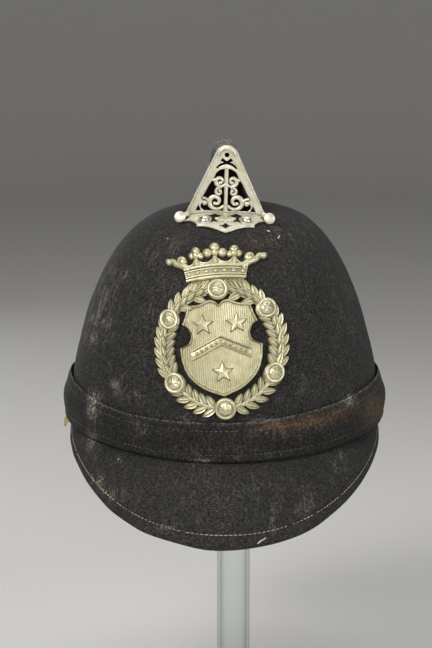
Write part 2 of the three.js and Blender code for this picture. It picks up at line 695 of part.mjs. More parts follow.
function makeCoronet() {
  const { foot, footArch, height, arch, half, flare, steps } = CORONET_RIM;
  const rimFoot = (u) => foot + SEAT + footArch * (1 - (u / half) ** 2);
  const rimTop = (u) => foot + height + (footArch + arch) * (1 - (u / half) ** 2);
  const rim = [];
  for (let k = 0; k <= steps; k += 1) {
    const u = THREE.MathUtils.lerp(-half, half, k / steps);
    const at = (part, w) => {
      const v = THREE.MathUtils.lerp(rimFoot(u), rimTop(u), part);
      return new THREE.Vector3(u * (1 + flare * (part - 0.5)), v, w);
    };
    const over = RIM_MOULDING.map((row) => at(row.across, row.out));
    const under = RIM_MOULDING.map((row) => at(row.across, SEAT));
    rim.push([...over, ...under.reverse()]);
  }
  const pieces = [loft(rim)];
  const lastPearl = 0.88 * half;
  for (let k = 0; k < CORONET_PEARLS; k += 1) {
    const u = THREE.MathUtils.lerp(-lastPearl, lastPearl, k / (CORONET_PEARLS - 1));
    pieces.push(pearl(u, (rimFoot(u) + rimTop(u)) / 2, PEARL_RADIUS));
  }
  for (const row of CORONET_FINIALS) pieces.push(...finial(row, rimTop(row.u)));
  const { knob, tip } = CORONET_END;
  for (const side of [1, -1]) {
    const wing = [
      [side * (half - 3), rimTop(half) - 1], [side * half, rimTop(half) + 2], [side * knob.u, knob.v - 1],
      [side * (knob.u + 4), knob.v - 2.2], [side * (tip.u - 2.4), tip.v - 0.4], [side * tip.u, tip.v],
    ];
    pieces.push(plate(stroke(wing, 2), SEAT, CORONET_STALK));
    pieces.push(pearl(side * knob.u, knob.v, knob.radius), pearl(side * tip.u, tip.v, tip.radius));
  }
  return drape(join(pieces), onBadge, BADGE_EDGE_LENGTH);
}

function star(u, v) {
  const points = Array.from({ length: 10 }, (unused, k) => {
    const radius = STAR_RADIUS * (k % 2 ? 0.45 : 1);
    const angle = Math.PI / 2 + (Math.PI * k) / 5;
    return [u + radius * Math.cos(angle), v + radius * Math.sin(angle)];
  });
  return outline(points);
}

function makeShield() {
  const field = plate(shieldOutline(), SEAT, SEAT + SHIELD_BASE);
  const rimOuter = toManifold(plate(shieldOutline(), SEAT, SEAT + SHIELD_RIM));
  const rimInner = plate(shieldOutline(SHIELD_RIM_SCALE), -1, 2 * SHIELD_RIM);
  const chevron = outline([
    [-17.4, -18.4], [-17.4, -12.4], [0, -3.6], [17.4, -12.4], [17.4, -18.4], [0, -9.6],
  ]);
  const charges = [chevron, ...STARS.map(({ u, v }) => star(u, v))];
  const raised = charges.map((shape) => plate(shape, SEAT + 0.2, SEAT + SHIELD_CHARGE));
  const whole = join([field, ...raised]).add(rimOuter.subtract(toManifold(rimInner)));
  return drape(whole, onBadge, BADGE_EDGE_LENGTH);
}

// A strip bent like a J, seen from the front: its back lies on the peaks and its lip points up.
function makeHook() {
  const { strip, top, height, reach, lip } = HOOK;
  const back = -PEAK_HALF_WIDTH - PEAK_WALL / 2 - SEAT;
  const foot = top - height;
  const strap = outline([
    [back, top], [back, foot], [back - reach, foot], [back - reach, foot + lip],
    [back - reach + strip, foot + lip], [back - reach + strip, foot + strip],
    [back - strip, foot + strip], [back - strip, top],
  ]);
  return plate(strap, -HOOK.width / 2, HOOK.width / 2).rotateX(Math.PI / 2);
}

function makePost() {
  const low = STAND_BASE.height + SEAT;
  const high = BRIM_HEIGHT + STAND_HEAD.foot - SEAT;
  const { x, outer, inner, sides } = POST;
  const wall = [[inner, low], [outer, low], [outer, high], [inner, high], [inner, low]];
  return stud(wall, sides).translate(x, 0, 0);
}

function makeStandBase() {
  const { radius, height, edge, sides } = STAND_BASE;
  const rows = [[0, 0], [radius, 0], [radius, height - edge], [radius - edge, height], [0, height]];
  return stud(rows, sides).translate(POST.x, 0, 0);
}

// The head fills the top of the crown from inside, row by row, and is flat below.
function makeStandHead() {
  const { rows, foot, sides } = STAND_HEAD;
  const offset = -CROWN_WALL - SEAT;
  const loops = [];
  for (let k = 0; k <= rows; k += 1) loops.push(crownRow(1 - k / CROWN_INNER_ROWS, offset, sides));
  const edge = loops[rows];
  loops.push(edge.map((point) => point.clone().setZ(foot)));
  loops.push(edge.map(() => new THREE.Vector3(0, 0, foot)));
  return loft(loops);
}

function named(name, geometry, finish) {
  const mesh = new THREE.Mesh(geometry, new THREE.MeshStandardMaterial(finish));
  mesh.name = name;
  return mesh;
}

const helmet = new THREE.Group();
helmet.position.z = BRIM_HEIGHT;
helmet.add(named('crown', makeCrown(), CLOTH));
helmet.add(named('band', makeBand(), CLOTH));
helmet.add(named('front_peak', makePeak(PEAK_SHAPES.front, 0), CLOTH));
helmet.add(named('back_peak', makePeak(PEAK_SHAPES.back, Math.PI), CLOTH));
helmet.add(named('comb', makeComb(), DUSTY_CLOTH));
helmet.add(named('crest_plate', makeCrestPlate(), PALE_METAL));
helmet.add(named('crest_rivet_left', makeRivet(-1), BRIGHT_METAL));
helmet.add(named('crest_rivet_right', makeRivet(1), BRIGHT_METAL));
helmet.add(named('badge_wreath', makeWreath(), PALE_METAL));
BOSS_ANGLES.forEach((degrees, k) => {
  helmet.add(named(`badge_boss_${k + 1}`, makeBoss(degrees), PALE_METAL));
});
helmet.add(named('badge_coronet', makeCoronet(), PALE_METAL));
helmet.add(named('badge_shield', makeShield(), PALE_METAL));
helmet.add(named('side_hook', makeHook(), BRASS));
helmet.add(named('stand_head', makeStandHead(), ACRYLIC));

const object = new THREE.Group();
object.add(helmet);
object.add(named('stand_post', makePost(), ACRYLIC));
object.add(named('stand_base', makeStandBase(), ACRYLIC));

export default object;
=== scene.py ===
"""Looks of the crested helmet on its clear stand.

Shapes are worked out in millimetres in the helmet's own frame, whose height 0 is the front lower edge of the
band, and become metres when a piece is made. -Y is the front and +X is on the viewer's right.
"""

import math
from math import pi, radians

import bmesh
import bpy
import numpy as np
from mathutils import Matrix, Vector, noise


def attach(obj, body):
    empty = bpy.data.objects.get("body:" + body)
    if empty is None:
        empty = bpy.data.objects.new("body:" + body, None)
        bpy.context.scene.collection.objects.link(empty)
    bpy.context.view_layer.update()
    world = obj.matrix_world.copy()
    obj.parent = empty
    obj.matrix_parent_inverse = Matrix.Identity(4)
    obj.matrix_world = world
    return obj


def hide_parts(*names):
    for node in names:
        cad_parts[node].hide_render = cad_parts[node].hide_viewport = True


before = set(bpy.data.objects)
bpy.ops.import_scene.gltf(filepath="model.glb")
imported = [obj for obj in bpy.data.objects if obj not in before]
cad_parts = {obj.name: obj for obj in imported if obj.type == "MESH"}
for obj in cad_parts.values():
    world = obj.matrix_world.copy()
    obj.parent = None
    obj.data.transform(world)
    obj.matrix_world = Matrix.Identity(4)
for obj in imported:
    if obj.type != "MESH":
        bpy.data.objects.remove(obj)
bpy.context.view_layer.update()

MM = 0.001
BRIM_HEIGHT = 208.0
SEAT = 0.4  # gap kept between pieces that touch

# The camera, as the front view is seen from.
VIEW_ELEVATION = radians(10)
VIEW_DISTANCE = 1150.0
VIEW_AIM = 63.0  # height that the camera looks at
VIEW_SHIFT = -0.0131  # the object stands a little right of the picture's middle
VIEW_LENS = 96.8

# Crown: height, half width and sideways shift of each level section.
CROWN_WALL = 3.0
CROWN_STRETCH = 1.2
CROWN_SECTIONS = [
    (-9, 95.8, 0), (12, 98.6, 0), (34, 99.8, 0), (62, 93.6, 0), (86, 86, 0.2), (105, 77.6, 0.5),
    (119, 68.2, 1), (128, 60, 1.5), (134.5, 51.8, 1.9), (139.2, 42, 2.1), (142.2, 30, 2.2), (143.7, 15, 2.2),
    (144.2, 0, 2.2),
]
CROWN_SAGS = [(0.45, 30.0), (0.12, 7.0)]  # depth and breadth of its unevenness
CROWN_GIRTH, BAND_GIRTH, PEAK_GIRTH = 95, 105, 120  # radius by which the cloth's weave is laid round a piece
CLOTH_COLUMNS = 288  # faces round the crown and the band

# Band: height of its edges in front and at the sides, and how sharply they rise to the left and to the right.
BAND_TOP = {"front": 24.5, "side": 35.0, "left": 4.4, "right": 1.7}
BAND_FOOT = {"front": 0.0, "side": 5.0, "left": 2, "right": 2}
# Its sections: part of the height, how far it stands off in front and at the sides, and its thickness.
BAND_SECTIONS = [
    (0, 0.6, 1.2, 2.5), (0.14, 1.4, 4.8, 2.5), (0.4, 1.2, 5.0, 2.5), (0.75, 0.8, 2.2, 2.1),
    (1, 0.6, 0.9, 1.2),
]
BAND_SEAMS = {"top": 0.95, "upper": 0.8, "lower": 0.2}  # part of the height
BAND_SEAM_DEPTH = 0.3
BAND_ROUNDING = 0.055  # part of the height
BAND_ROLL = {"height": 0.5, "at": 0.07, "reach": 0.06}  # the swelling along its foot
BAND_SAG = {"depth": 0.35, "breadth": 14.0, "inset": 0.25}
BAND_WIDTH = 28

# Peaks
PEAK_WALL = 2.5
PEAK_HALF_WIDTH = 99.6
PEAK_ROUNDNESS = 2.2
PEAK_SIDE_DROP = 3.0
PEAK_DROP_CURVE = 1.7
PEAK_END_ANGLE = radians(89.3)
PEAK_SEAM_GAP = 0.7
PEAK_HEM = 8.0  # from the edge to its line of stitches
PEAK_HEM_HEIGHT = 0.9
PEAK_GROOVE = {"depth": 0.6, "reach": 0.8}
PEAK_SAGS = [(0.4, 16.0, 0.0), (0.25, 6.0, 3.0)]  # depth, breadth and seed of its unevenness
PEAK_EDGE_RADIUS = 1.4
PEAK_WAVER = 1.6  # how far the edge strays
PEAK_SHAPES = {
    "front": {"reach": 170.0, "drop": 38.0, "bulge": 3.0, "heading": 0.0},
    "back": {"reach": 168.0, "drop": 42.0, "bulge": 3.0, "heading": pi},
}

# Comb: y, ridge height, half width at the top and at the foot.
COMB_GAP = 0.6
COMB_EDGE = 0.9
# Heights on the comb: where its dust with painted light from above begins, where its wear with painted light
# begins, and up to where its front face has painted shade.
COMB_DUST_AND_LIGHT_FROM, COMB_WEAR_AND_LIGHT_FROM, COMB_SHADED_TO = 172, 178, 184
COMB_SECTIONS = [
    (-40.8, 181.5, 6.6, 18.5), (-20, 185, 7, 19.5), (10, 185, 7, 19.5), (40, 178, 7, 18),
    (65, 163.5, 6.6, 15.5), (85, 142, 6.2, 12.5), (97, 119, 5.4, 9.5), (105, 92, 4.2, 6.5),
]

# Crest plate
CREST_SHIFT = 0.6
CREST_FACE = -44.6
CREST_LEAN = radians(1.5)
CREST_TURN = radians(3.5)
CREST_WALL = 1.6
CREST_SHEET = 0.9  # the foot, under its raised ornament
CREST_APEX = 184.0
CREST_APEX_RADIUS = 7.4
CREST_BASE_HALF = 25.0
CREST_BALL = {"left": (-27.4, 4.9), "right": (26.4, 6.0), "radius": 3.6}
CREST_BALL_FLATTENED = 0.72
RIVET = {"x": 12.9, "forward": 9.2, "radius": 3.4, "height": 2.1}

# Badge
BADGE_HEIGHT = 78.3
BADGE_SHIFT = -2.7
BADGE_LEAN = radians(4)
WREATH = {"middle": -11.4, "half_width": 35.4, "half_height": 36.0}
BOSS_ANGLES = [0, 60, 127, 180, 240, 304]
BOSS_RADIUS = 6.0
BOSS_HEIGHT = 3.0
BOSS_SEAT_TOP = 2.0
# Stretches of laurel: angles on the right and on the left, rows, leaf length, half width, splay of the outer
# and of the inner leaves, rows with inner leaves, middle leaf.
LAUREL = [
    ((10, 48), (10, 44), 5, 8.6, 1.9, 38, 50, (0, 1, 2, 3, 4), False),
    ((66, 113), (63, 107), 6, 9.4, 2.3, 33, 50, (0, 1, 2, 3, 4, 5), True),
    ((133, 165), (126, 163), 5, 9.4, 2.2, 36, 50, (1, 3), True),
]
LEAF = {"base": 0.9, "slope": 1.15, "fold": 0.65}
# The ground of the leaves below the coronet, and the places of their roots.
COLLAR = {"foot": 22.6, "half": 14.4, "flare": 1.6, "height": 1.0}
COLLAR_LEAVES = [(7.4 + 2.3 * k, 21.4 + 0.2 * k) for k in range(6)]
COLLAR_SPLAY = 30
COLLAR_LEAF_HALF = 1.7
CORONET_RIM = {"foot": 29.8, "foot_arch": 1.8, "height": 9.4, "arch": 1.0, "half": 18.6, "flare": 0.1}
CORONET_SHIFT = -0.7
CORONET_LEAN = 0.028  # beyond the badge's own lean
# Finials: place, stem, and the radius of the top and side pearls and how far apart the side ones are.
CORONET_FINIALS = [(0, 7.6, 3.3, 2.95, 4.5), (-11.6, 7.2, 2.8, 2.3, 2.6), (11.6, 7.2, 2.8, 2.3, 2.6)]
CORONET_DIP, CORONET_RISE = 1.2, 5.6  # edge between the finials: above the rim, and its rise to a stem
CORONET_KNOB = (20.2, 44.4, 2.9)  # across, up and radius
CORONET_TIP = (29.8, 44.2, 1.5)
SHIELD_MIDDLE = -11.0
SHIELD_RIGHT = [
    (2.6, 17.6), (6, 18.2), (12, 15.6), (18.8, 14.8), (20.4, 9), (22.6, 3.6), (19.4, 1.2), (17.6, -3.4),
    (19.2, -8), (24.9, -11), (23.8, -19.5), (20.6, -27.5), (12, -35.4),
]
SHIELD_FIELD = 1.5
SHIELD_NOTCH = (0, 15.2)
SHIELD_TIP = (0, -40.4)
STARS = [(-10, 3), (10, 3), (0, -26)]
STAR_RADIUS = 6.0
CHEVRON = [(-17.4, -15.4), (0, -6.6), (17.4, -15.4)]

HOOK = {"width": 7.0, "strip": 1.3, "top": 2.2, "height": 8.4, "reach": 4.4}
POST = {"x": 6.0, "outer": 11.0, "inner": 9.0}
STAND_BASE = {"radius": 80.0, "height": 8.0, "roundings": (1.0, 1.6)}  # below and above
STAND_HEAD_FOOT = 124.0

FLOOR = {"radius": 5.0, "bend": 1.5, "wall": 4.0}  # metres


# Curves and the crown's surface

def columns(*parts):
    """Numbers or arrays side by side, as the last axis of one array."""
    return np.stack(np.broadcast_arrays(*parts), -1)


def unit(vectors):
    """The same directions with length 1."""
    return vectors / np.linalg.norm(vectors, axis=-1, keepdims=True)


def circle(count):
    """Angles once round, the first one repeated at the end."""
    return np.linspace(0, 2 * pi, count + 1)


def smooth_curve(points, per_span=40):
    """A curve through points that slows down where they lie close."""
    p = np.array(points, float)
    ends = np.vstack([2 * p[0] - p[1], p, 2 * p[-1] - p[-2]])
    part = np.linspace(0, 1, per_span, endpoint=False)[:, None]
    out = []
    for k in range(len(p) - 1):
        a, b, c, d = ends[k:k + 4]
        r, s, t = (max(math.sqrt(np.linalg.norm(n - m)), 1e-6) for m, n in ((a, b), (b, c), (c, d)))
        leave = s * ((b - a) / r - (c - a) / (r + s) + (c - b) / s)
        arrive = s * ((c - b) / s - (d - b) / (s + t) + (d - c) / t)
        out.append(b + leave * part + (3 * (c - b) - 2 * leave - arrive) * part ** 2
                   + (2 * (b - c) + leave + arrive) * part ** 3)
    return np.vstack(out + [p[-1:]])


def lengths(points):
    return np.concatenate([[0], np.cumsum(np.linalg.norm(np.diff(points, axis=0), axis=1))])


def along(points, distance):
    """Points at distances along a path."""
    reach = lengths(points)
    return columns(*(np.interp(distance, reach, column) for column in np.asarray(points).T))


def spaced(points, count):
    """The same path in equal steps."""
    points = np.asarray(points, float)
    return along(points, np.linspace(0, lengths(points)[-1], count))


PROFILE = smooth_curve(CROWN_SECTIONS)
HEIGHT, HALF, SHIFT = PROFILE.T
CLIMB, RUN = np.gradient(HEIGHT), np.gradient(HALF)
PROFILE_LENGTH = lengths(PROFILE)
FRONT_LENGTH = lengths(columns(CROWN_STRETCH * HALF, HEIGHT))
UPPER = HEIGHT > BAND_TOP["side"]


def crown(angle, height, offset=0.0):
    """Points of the crown's surface. Angle 0 is the front, and grows towards the viewer's right."""
    angle, height, offset = np.broadcast_arrays(*(np.asarray(a, float) for a in (angle, height, offset)))
    half, shift, climb, run = (np.interp(height, HEIGHT, column) for column in (HALF, SHIFT, CLIMB, RUN))
    sin, cos = np.sin(angle), np.cos(angle)
    normal = unit(columns(climb * sin, -climb * cos / CROWN_STRETCH, -run))
    point = columns(shift + half * sin, -CROWN_STRETCH * half * cos, height)
    return point + offset[..., None] * normal


def crown_over(x, y, offset=0.0):
    """The points of the crown's upper part over points in plan."""
    x, y = np.asarray(x, float), np.asarray(y, float)
    shift = np.full_like(x, SHIFT[-1])
    for _ in range(4):
        half = np.hypot(x - shift, y / CROWN_STRETCH)
        height = np.interp(-half, -HALF[UPPER], HEIGHT[UPPER])
        shift = np.interp(height, HEIGHT, SHIFT)
    return crown(np.arctan2(x - shift, -y / CROWN_STRETCH), height, offset)


def edge_height(edge, angle):
    sin = np.sin(angle)
    sharpness = np.where(sin > 0, edge["right"], edge["left"])
    return edge["front"] + (edge["side"] - edge["front"]) * np.abs(sin) ** sharpness


BADGE_LENGTH = np.interp(BADGE_HEIGHT, HEIGHT, FRONT_LENGTH)


def on_badge(points):
    """Lays flat points on the badge's place: right, up along the cloth, and out from it."""
    u, v, w = points.T
    cos, sin, steps = math.cos(BADGE_LEAN), math.sin(BADGE_LEAN), 12
    right = BADGE_SHIFT + u * cos - v * sin
    height = np.interp(BADGE_LENGTH + u * sin + v * cos, FRONT_LENGTH, HEIGHT)
    half = np.interp(height, HEIGHT, HALF)
    angle = np.zeros_like(u)
    for _ in range(steps):
        angle = angle + right / steps / np.hypot(half * np.cos(angle), CROWN_STRETCH * half * np.sin(angle))
    return crown(angle, height, w)


def crest_plan(x, back):
    """A place in the crest plate's own plan, turned and moved to its place on the crown."""
    return CREST_SHIFT + x * math.cos(CREST_TURN), CREST_FACE - x * math.sin(CREST_TURN) + back


def on_crest_foot(points):
    """Lays flat points on the crown before the crest: across, forward of the fold, and out."""
    x, forward, w = points.T
    return crown_over(*crest_plan(x, -forward), w)


CREST_FOLD = float(on_crest_foot(np.zeros((1, 3)))[0, 2])


def on_crest(points):
    """Stands flat points on the fold of the crest plate: across, up, and forward from its back."""
    x, y, w = points.T
    cos, sin = math.cos(CREST_LEAN), math.sin(CREST_LEAN)
    across, back = crest_plan(x * cos + y * sin, CREST_WALL - w)
    return columns(across, back, CREST_FOLD + y * cos - x * sin)


def seen(points):
    """Millimetres across and up in the front view, at the distance that the camera aims at."""
    x, y, z = points.T
    cos, sin = math.cos(VIEW_ELEVATION), math.sin(VIEW_ELEVATION)
    rise = z - VIEW_AIM
    scale = VIEW_DISTANCE / (VIEW_DISTANCE + y * cos - rise * sin)
    return columns(x * scale, (y * sin + rise * cos) * scale)


def hump(distance, reach):
    """A smooth rise to 1 that fades with the distance."""
    return np.exp(-(distance / reach) ** 2)


def rounding(inset, radius):
    """How much of a wall's thickness is left at a distance inside its rounded edge."""
    return np.sqrt(np.clip(1 - (np.clip(radius - inset, 0, None) / radius) ** 2, 0, 1))


# Meshes

class Shape:
    """Points, faces and cloth coordinates that are gathered before a piece is made."""

    def __init__(self):
        self.points, self.uvs, self.faces, self.count = [], [], [], 0

    def add(self, points, faces, uv=None):
        points = np.asarray(points, float).reshape(-1, 3)
        self.points.append(points)
        self.uvs.append(points[:, :2] if uv is None else np.asarray(uv, float).reshape(-1, 2))
        self.faces.extend([k + self.count for k in face] for face in faces)
        self.count += len(points)
        return self

    def grid(self, points, uv=None, ring=False):
        """Skins rows of points. With ring, the last row joins the first."""
        rows, cols = points.shape[:2]
        i, j = np.meshgrid(np.arange(rows if ring else rows - 1), np.arange(cols - 1), indexing="ij")
        n = (i + 1) % rows
        faces = columns(i * cols + j, i * cols + j + 1, n * cols + j + 1, n * cols + j)
        return self.add(points, faces.reshape(-1, 4).tolist(), uv)

    def laid(self, place):
        """The same shape with its points moved to their place."""
        return Shape().add(place(np.vstack(self.points)), self.faces, np.vstack(self.uvs))


def add_object(name, data):
    thing = bpy.data.objects.new(name, data)
    bpy.context.scene.collection.objects.link(thing)
    return thing


def make(name, shape, material, node=None, masks=None, crease=None, lift=BRIM_HEIGHT):
    """Turns a gathered shape into a piece that stands for a node and moves with the one body."""
    mesh = bpy.data.meshes.new(name)
    mesh.from_pydata((np.vstack(shape.points) + (0, 0, lift)) * MM, [], shape.faces)
    corners = np.zeros(len(mesh.loops), int)
    mesh.loops.foreach_get("vertex_index", corners)
    layer = mesh.uv_layers.new(name="cloth")
    layer.data.foreach_set("uv", (np.vstack(shape.uvs)[corners] * MM).ravel())
    work = bmesh.new()
    work.from_mesh(mesh)
    bmesh.ops.remove_doubles(work, verts=work.verts, dist=2e-6)
    bmesh.ops.recalc_face_normals(work, faces=work.faces)
    work.to_mesh(mesh)
    work.free()
    mesh.shade_smooth()
    if crease:
        mesh.set_sharp_from_angle(angle=radians(crease))
    for key, mask in (masks or {}).items():
        flat = np.zeros(len(mesh.vertices) * 3)
        mesh.vertices.foreach_get("co", flat)
        values = np.clip(mask(flat.reshape(-1, 3) / MM - (0, 0, lift)), 0, 1)
        mesh.attributes.new(key, "FLOAT", "POINT").data.foreach_set("value", values)
    mesh.materials.append(material)
    piece = add_object(name, mesh)
    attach(piece, "root")
    if node:
        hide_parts(node)
    return piece


def ripple(points, size, seed=0.0):
    """Smooth unevenness between -1 and 1."""
    flat = points.reshape(-1, 3) / size + seed
    return np.array([noise.noise(Vector(p)) for p in flat]).reshape(points.shape[:-1])


def turned(rows, sides, centre=(0, 0), base=0.0):
    """A round piece turned from (radius, height) rows."""
    turn = circle(sides)
    rows = np.asarray(rows, float)
    points = np.zeros((len(rows), sides + 1, 3))
    points[..., 0] = centre[0] + rows[:, :1] * np.cos(turn)
    points[..., 1] = centre[1] + rows[:, :1] * np.sin(turn)
    points[..., 2] = base + rows[:, 1:]
    return points


def oval(across, up, first, last, count, centre=(0, 0)):
    """Points of an oval from one angle to another."""
    turn = np.linspace(first, last, count)
    return [(centre[0] + across * math.cos(t), centre[1] + up * math.sin(t)) for t in turn]


def ring_of(x, y, radius, count=20):
    return oval(radius, radius, 0, 2 * pi, count + 1, (x, y))[:-1]


def bar(path, widths, low, high):
    """A half-round bar along a flat path, with widths from its start to its end."""
    path = np.asarray(path, float)
    ahead = unit(np.gradient(path, axis=0))
    across = columns(-ahead[:, 1], ahead[:, 0])
    width = np.interp(np.linspace(0, 1, len(path)), np.linspace(0, 1, len(widths)), widths)
    turn = np.linspace(0, pi, 9)
    out = np.concatenate([[1], np.cos(turn), [-1]])
    rise = np.concatenate([[0], 0.35 + 0.65 * np.sin(turn), [0]])
    points = np.zeros((len(path), len(out), 3))
    points[..., :2] = path[:, None] + across[:, None] * (width[:, None, None] / 2) * out[None, :, None]
    points[..., 2] = low + (high - low) * rise
    tips = points[[0, -1]].copy()
    tips[..., :2] = path[[0, -1]][:, None]
    tips[..., 2] = low
    return np.concatenate([tips[:1], points, tips[1:]])


def dome(x, y, radius, low, high):
    """A round knob on a flat ground."""
    turn = np.linspace(0, pi / 2, 7)
    rise = [(radius * math.cos(t), low + (high - low) * (0.35 + 0.65 * math.sin(t))) for t in turn]
    return turned([(radius, low), *rise], 24, (x, y))


def limb(start, end, first, last, sides=20):
    """A round rod that tapers from one end to the other."""
    axis = unit(end - start)
    side = unit(np.cross(axis, (0, 0, 1)))
    turn, part = circle(sides)[:, None], np.linspace(0, 1, 6)[:, None, None]
    ring = np.cos(turn) * side + np.sin(turn) * np.cross(side, axis)
    return start + (end - start) * part + (first + (last - first) * part) * ring


def strand(line, side, out, radius, sides=8):
    """A thin strand along a line, tapered at both ends."""
    turn = circle(sides)[:, None]
    taper = radius * np.sqrt(1.0001 - np.linspace(-1, 1, len(line)) ** 2)
    return line[:, None] + taper[:, None, None] * (np.cos(turn) * side + np.sin(turn) * out)


def mirrored(half):
    return [*half, *[(-x, y) for x, y in reversed(half)]]


def on_side(side, half):
    """Points of the right side, on the right (1) or on the left (-1)."""
    return [(side * x, y) for x, y in half]


def both_sides(half):
    return [on_side(side, half) for side in (1, -1)]


def pierced(outline, holes, thickness, bevel):
    """Points and faces of a flat plate on height 0 with rounded edges."""
    data = bpy.data.curves.new("plate", "CURVE")
    data.dimensions, data.fill_mode = "2D", "BOTH"
    data.extrude, data.bevel_depth, data.bevel_resolution = thickness / 2 - bevel, bevel, 2
    data.offset = -bevel
    for loop in (outline, *holes):
        spline = data.splines.new("POLY")
        spline.points.add(len(loop) - 1)
        spline.points.foreach_set("co", np.array([(x, y, 0, 1) for x, y in loop]).ravel())
        spline.use_cyclic_u = True
    holder = add_object("plate", data)
    shaped = holder.evaluated_get(bpy.context.evaluated_depsgraph_get())
    mesh = bpy.data.meshes.new_from_object(shaped)
    points = np.array([v.co for v in mesh.vertices]) + (0, 0, thickness / 2)
    faces = [list(face.vertices) for face in mesh.polygons]
    bpy.data.objects.remove(holder)
    bpy.data.meshes.remove(mesh)
    bpy.data.curves.remove(data)
    return points, faces


def diced(points, faces, step):
    """Cuts flat faces into a mesh of small ones, so that they can bend."""
    work = bmesh.new()
    corners = [work.verts.new(p) for p in points]
    for face in faces:
        if len({*face}) > 2 and not work.faces.get([corners[k] for k in face]):
            work.faces.new([corners[k] for k in face])
    for axis in (0, 1):
        normal = [float(axis == 0), float(axis == 1), 0]
        for at in np.arange(points[:, axis].min() + step, points[:, axis].max(), step):
            parts = [*work.verts, *work.edges, *work.faces]
            cut = [n * at for n in normal]
            bmesh.ops.bisect_plane(work, geom=parts, dist=1e-4, plane_co=cut, plane_no=normal)
    work.verts.index_update()
    result = np.array([v.co for v in work.verts]), [[v.index for v in face.verts] for face in work.faces]
    work.free()
    return result


# Materials

class Paint:
    """A node material, with short calls for the nodes that feed its shader."""

    def __init__(self, name, **values):
        self.material = bpy.data.materials.new(name)
        self.material.use_nodes = True
        self.nodes, self.links = self.material.node_tree.nodes, self.material.node_tree.links
        self.shader = next(node for node in self.nodes if node.type == "BSDF_PRINCIPLED")
        for key, value in values.items():
            self.shader.inputs[key.replace("_", " ")].default_value = value

    def add(self, kind, inputs=None, **settings):
        node = self.nodes.new(kind)
        for key, value in settings.items():
            setattr(node, key, value)
        for key, value in (inputs or {}).items():
            self.feed(node.inputs[key], value)
        return node

    def feed(self, socket, value):
        if isinstance(value, bpy.types.NodeSocket):
            self.links.new(value, socket)
        else:
            socket.default_value = value

    def place(self, scale, uv=False):
        """Coordinates in metres over the piece, times a scale on each axis."""
        source = self.add("ShaderNodeUVMap", uv_map="cloth").outputs[0] if uv \
            else self.add("ShaderNodeTexCoord").outputs["Object"]
        return self.add("ShaderNodeMapping", {"Vector": source, "Scale": scale}).outputs[0]

    def noise(self, scale, detail=3.0, rough=0.6, uv=False):
        inputs = {"Vector": self.place(scale, uv), "Scale": 1.0, "Detail": detail, "Roughness": rough}
        return self.add("ShaderNodeTexNoise", inputs).outputs["Fac"]

    def wave(self, scale):
        inputs = {"Vector": self.place(scale, uv=True), "Scale": 1.0, "Distortion": 0.0, "Detail": 1.0}
        return self.add("ShaderNodeTexWave", inputs, bands_direction="X").outputs["Fac"]

    def ramp(self, value, stops):
        node = self.add("ShaderNodeValToRGB", {"Fac": value})
        points = node.color_ramp.elements
        while len(points) < len(stops):
            points.new(0.5)
        for point, (at, colour) in zip(points, stops):
            point.position = at
            point.color = (*colour, 1) if isinstance(colour, tuple) else (colour, colour, colour, 1)
        return node.outputs[0]

    def spread(self, value, low, high, start, end):
        """A value from low to high stretched to lie between start and end."""
        inputs = {"Value": value, "From Min": low, "From Max": high, "To Min": start, "To Max": end}
        return self.add("ShaderNodeMapRange", inputs).outputs[0]

    def times(self, a, b, clamp=False):
        return self.add("ShaderNodeMath", {0: a, 1: b}, operation="MULTIPLY", use_clamp=clamp).outputs[0]

    def plus(self, a, b):
        return self.add("ShaderNodeMath", {0: a, 1: b}, operation="ADD").outputs[0]

    def power(self, value, exponent):
        return self.add("ShaderNodeMath", {0: value, 1: exponent}, operation="POWER").outputs[0]

    def scaled(self, colour, factor):
        inputs = {0: colour, "Scale": factor}
        return self.add("ShaderNodeVectorMath", inputs, operation="SCALE").outputs["Vector"]

    def mix(self, factor, a, b):
        node = self.add("ShaderNodeMix", data_type="RGBA")
        for socket, value in zip((node.inputs[0], node.inputs[6], node.inputs[7]), (factor, a, b)):
            self.feed(socket, (*value, 1) if isinstance(value, tuple) else value)
        return node.outputs[2]

    def mask(self, name):
        return self.add("ShaderNodeAttribute", attribute_name=name).outputs["Fac"]

    def bump(self, height, distance, strength, before=None):
        inputs = {"Height": height, "Distance": distance, "Strength": strength}
        if before:
            inputs["Normal"] = before
        return self.add("ShaderNodeBump", inputs).outputs[0]

    def set(self, key, value):
        self.feed(self.shader.inputs[key], value)


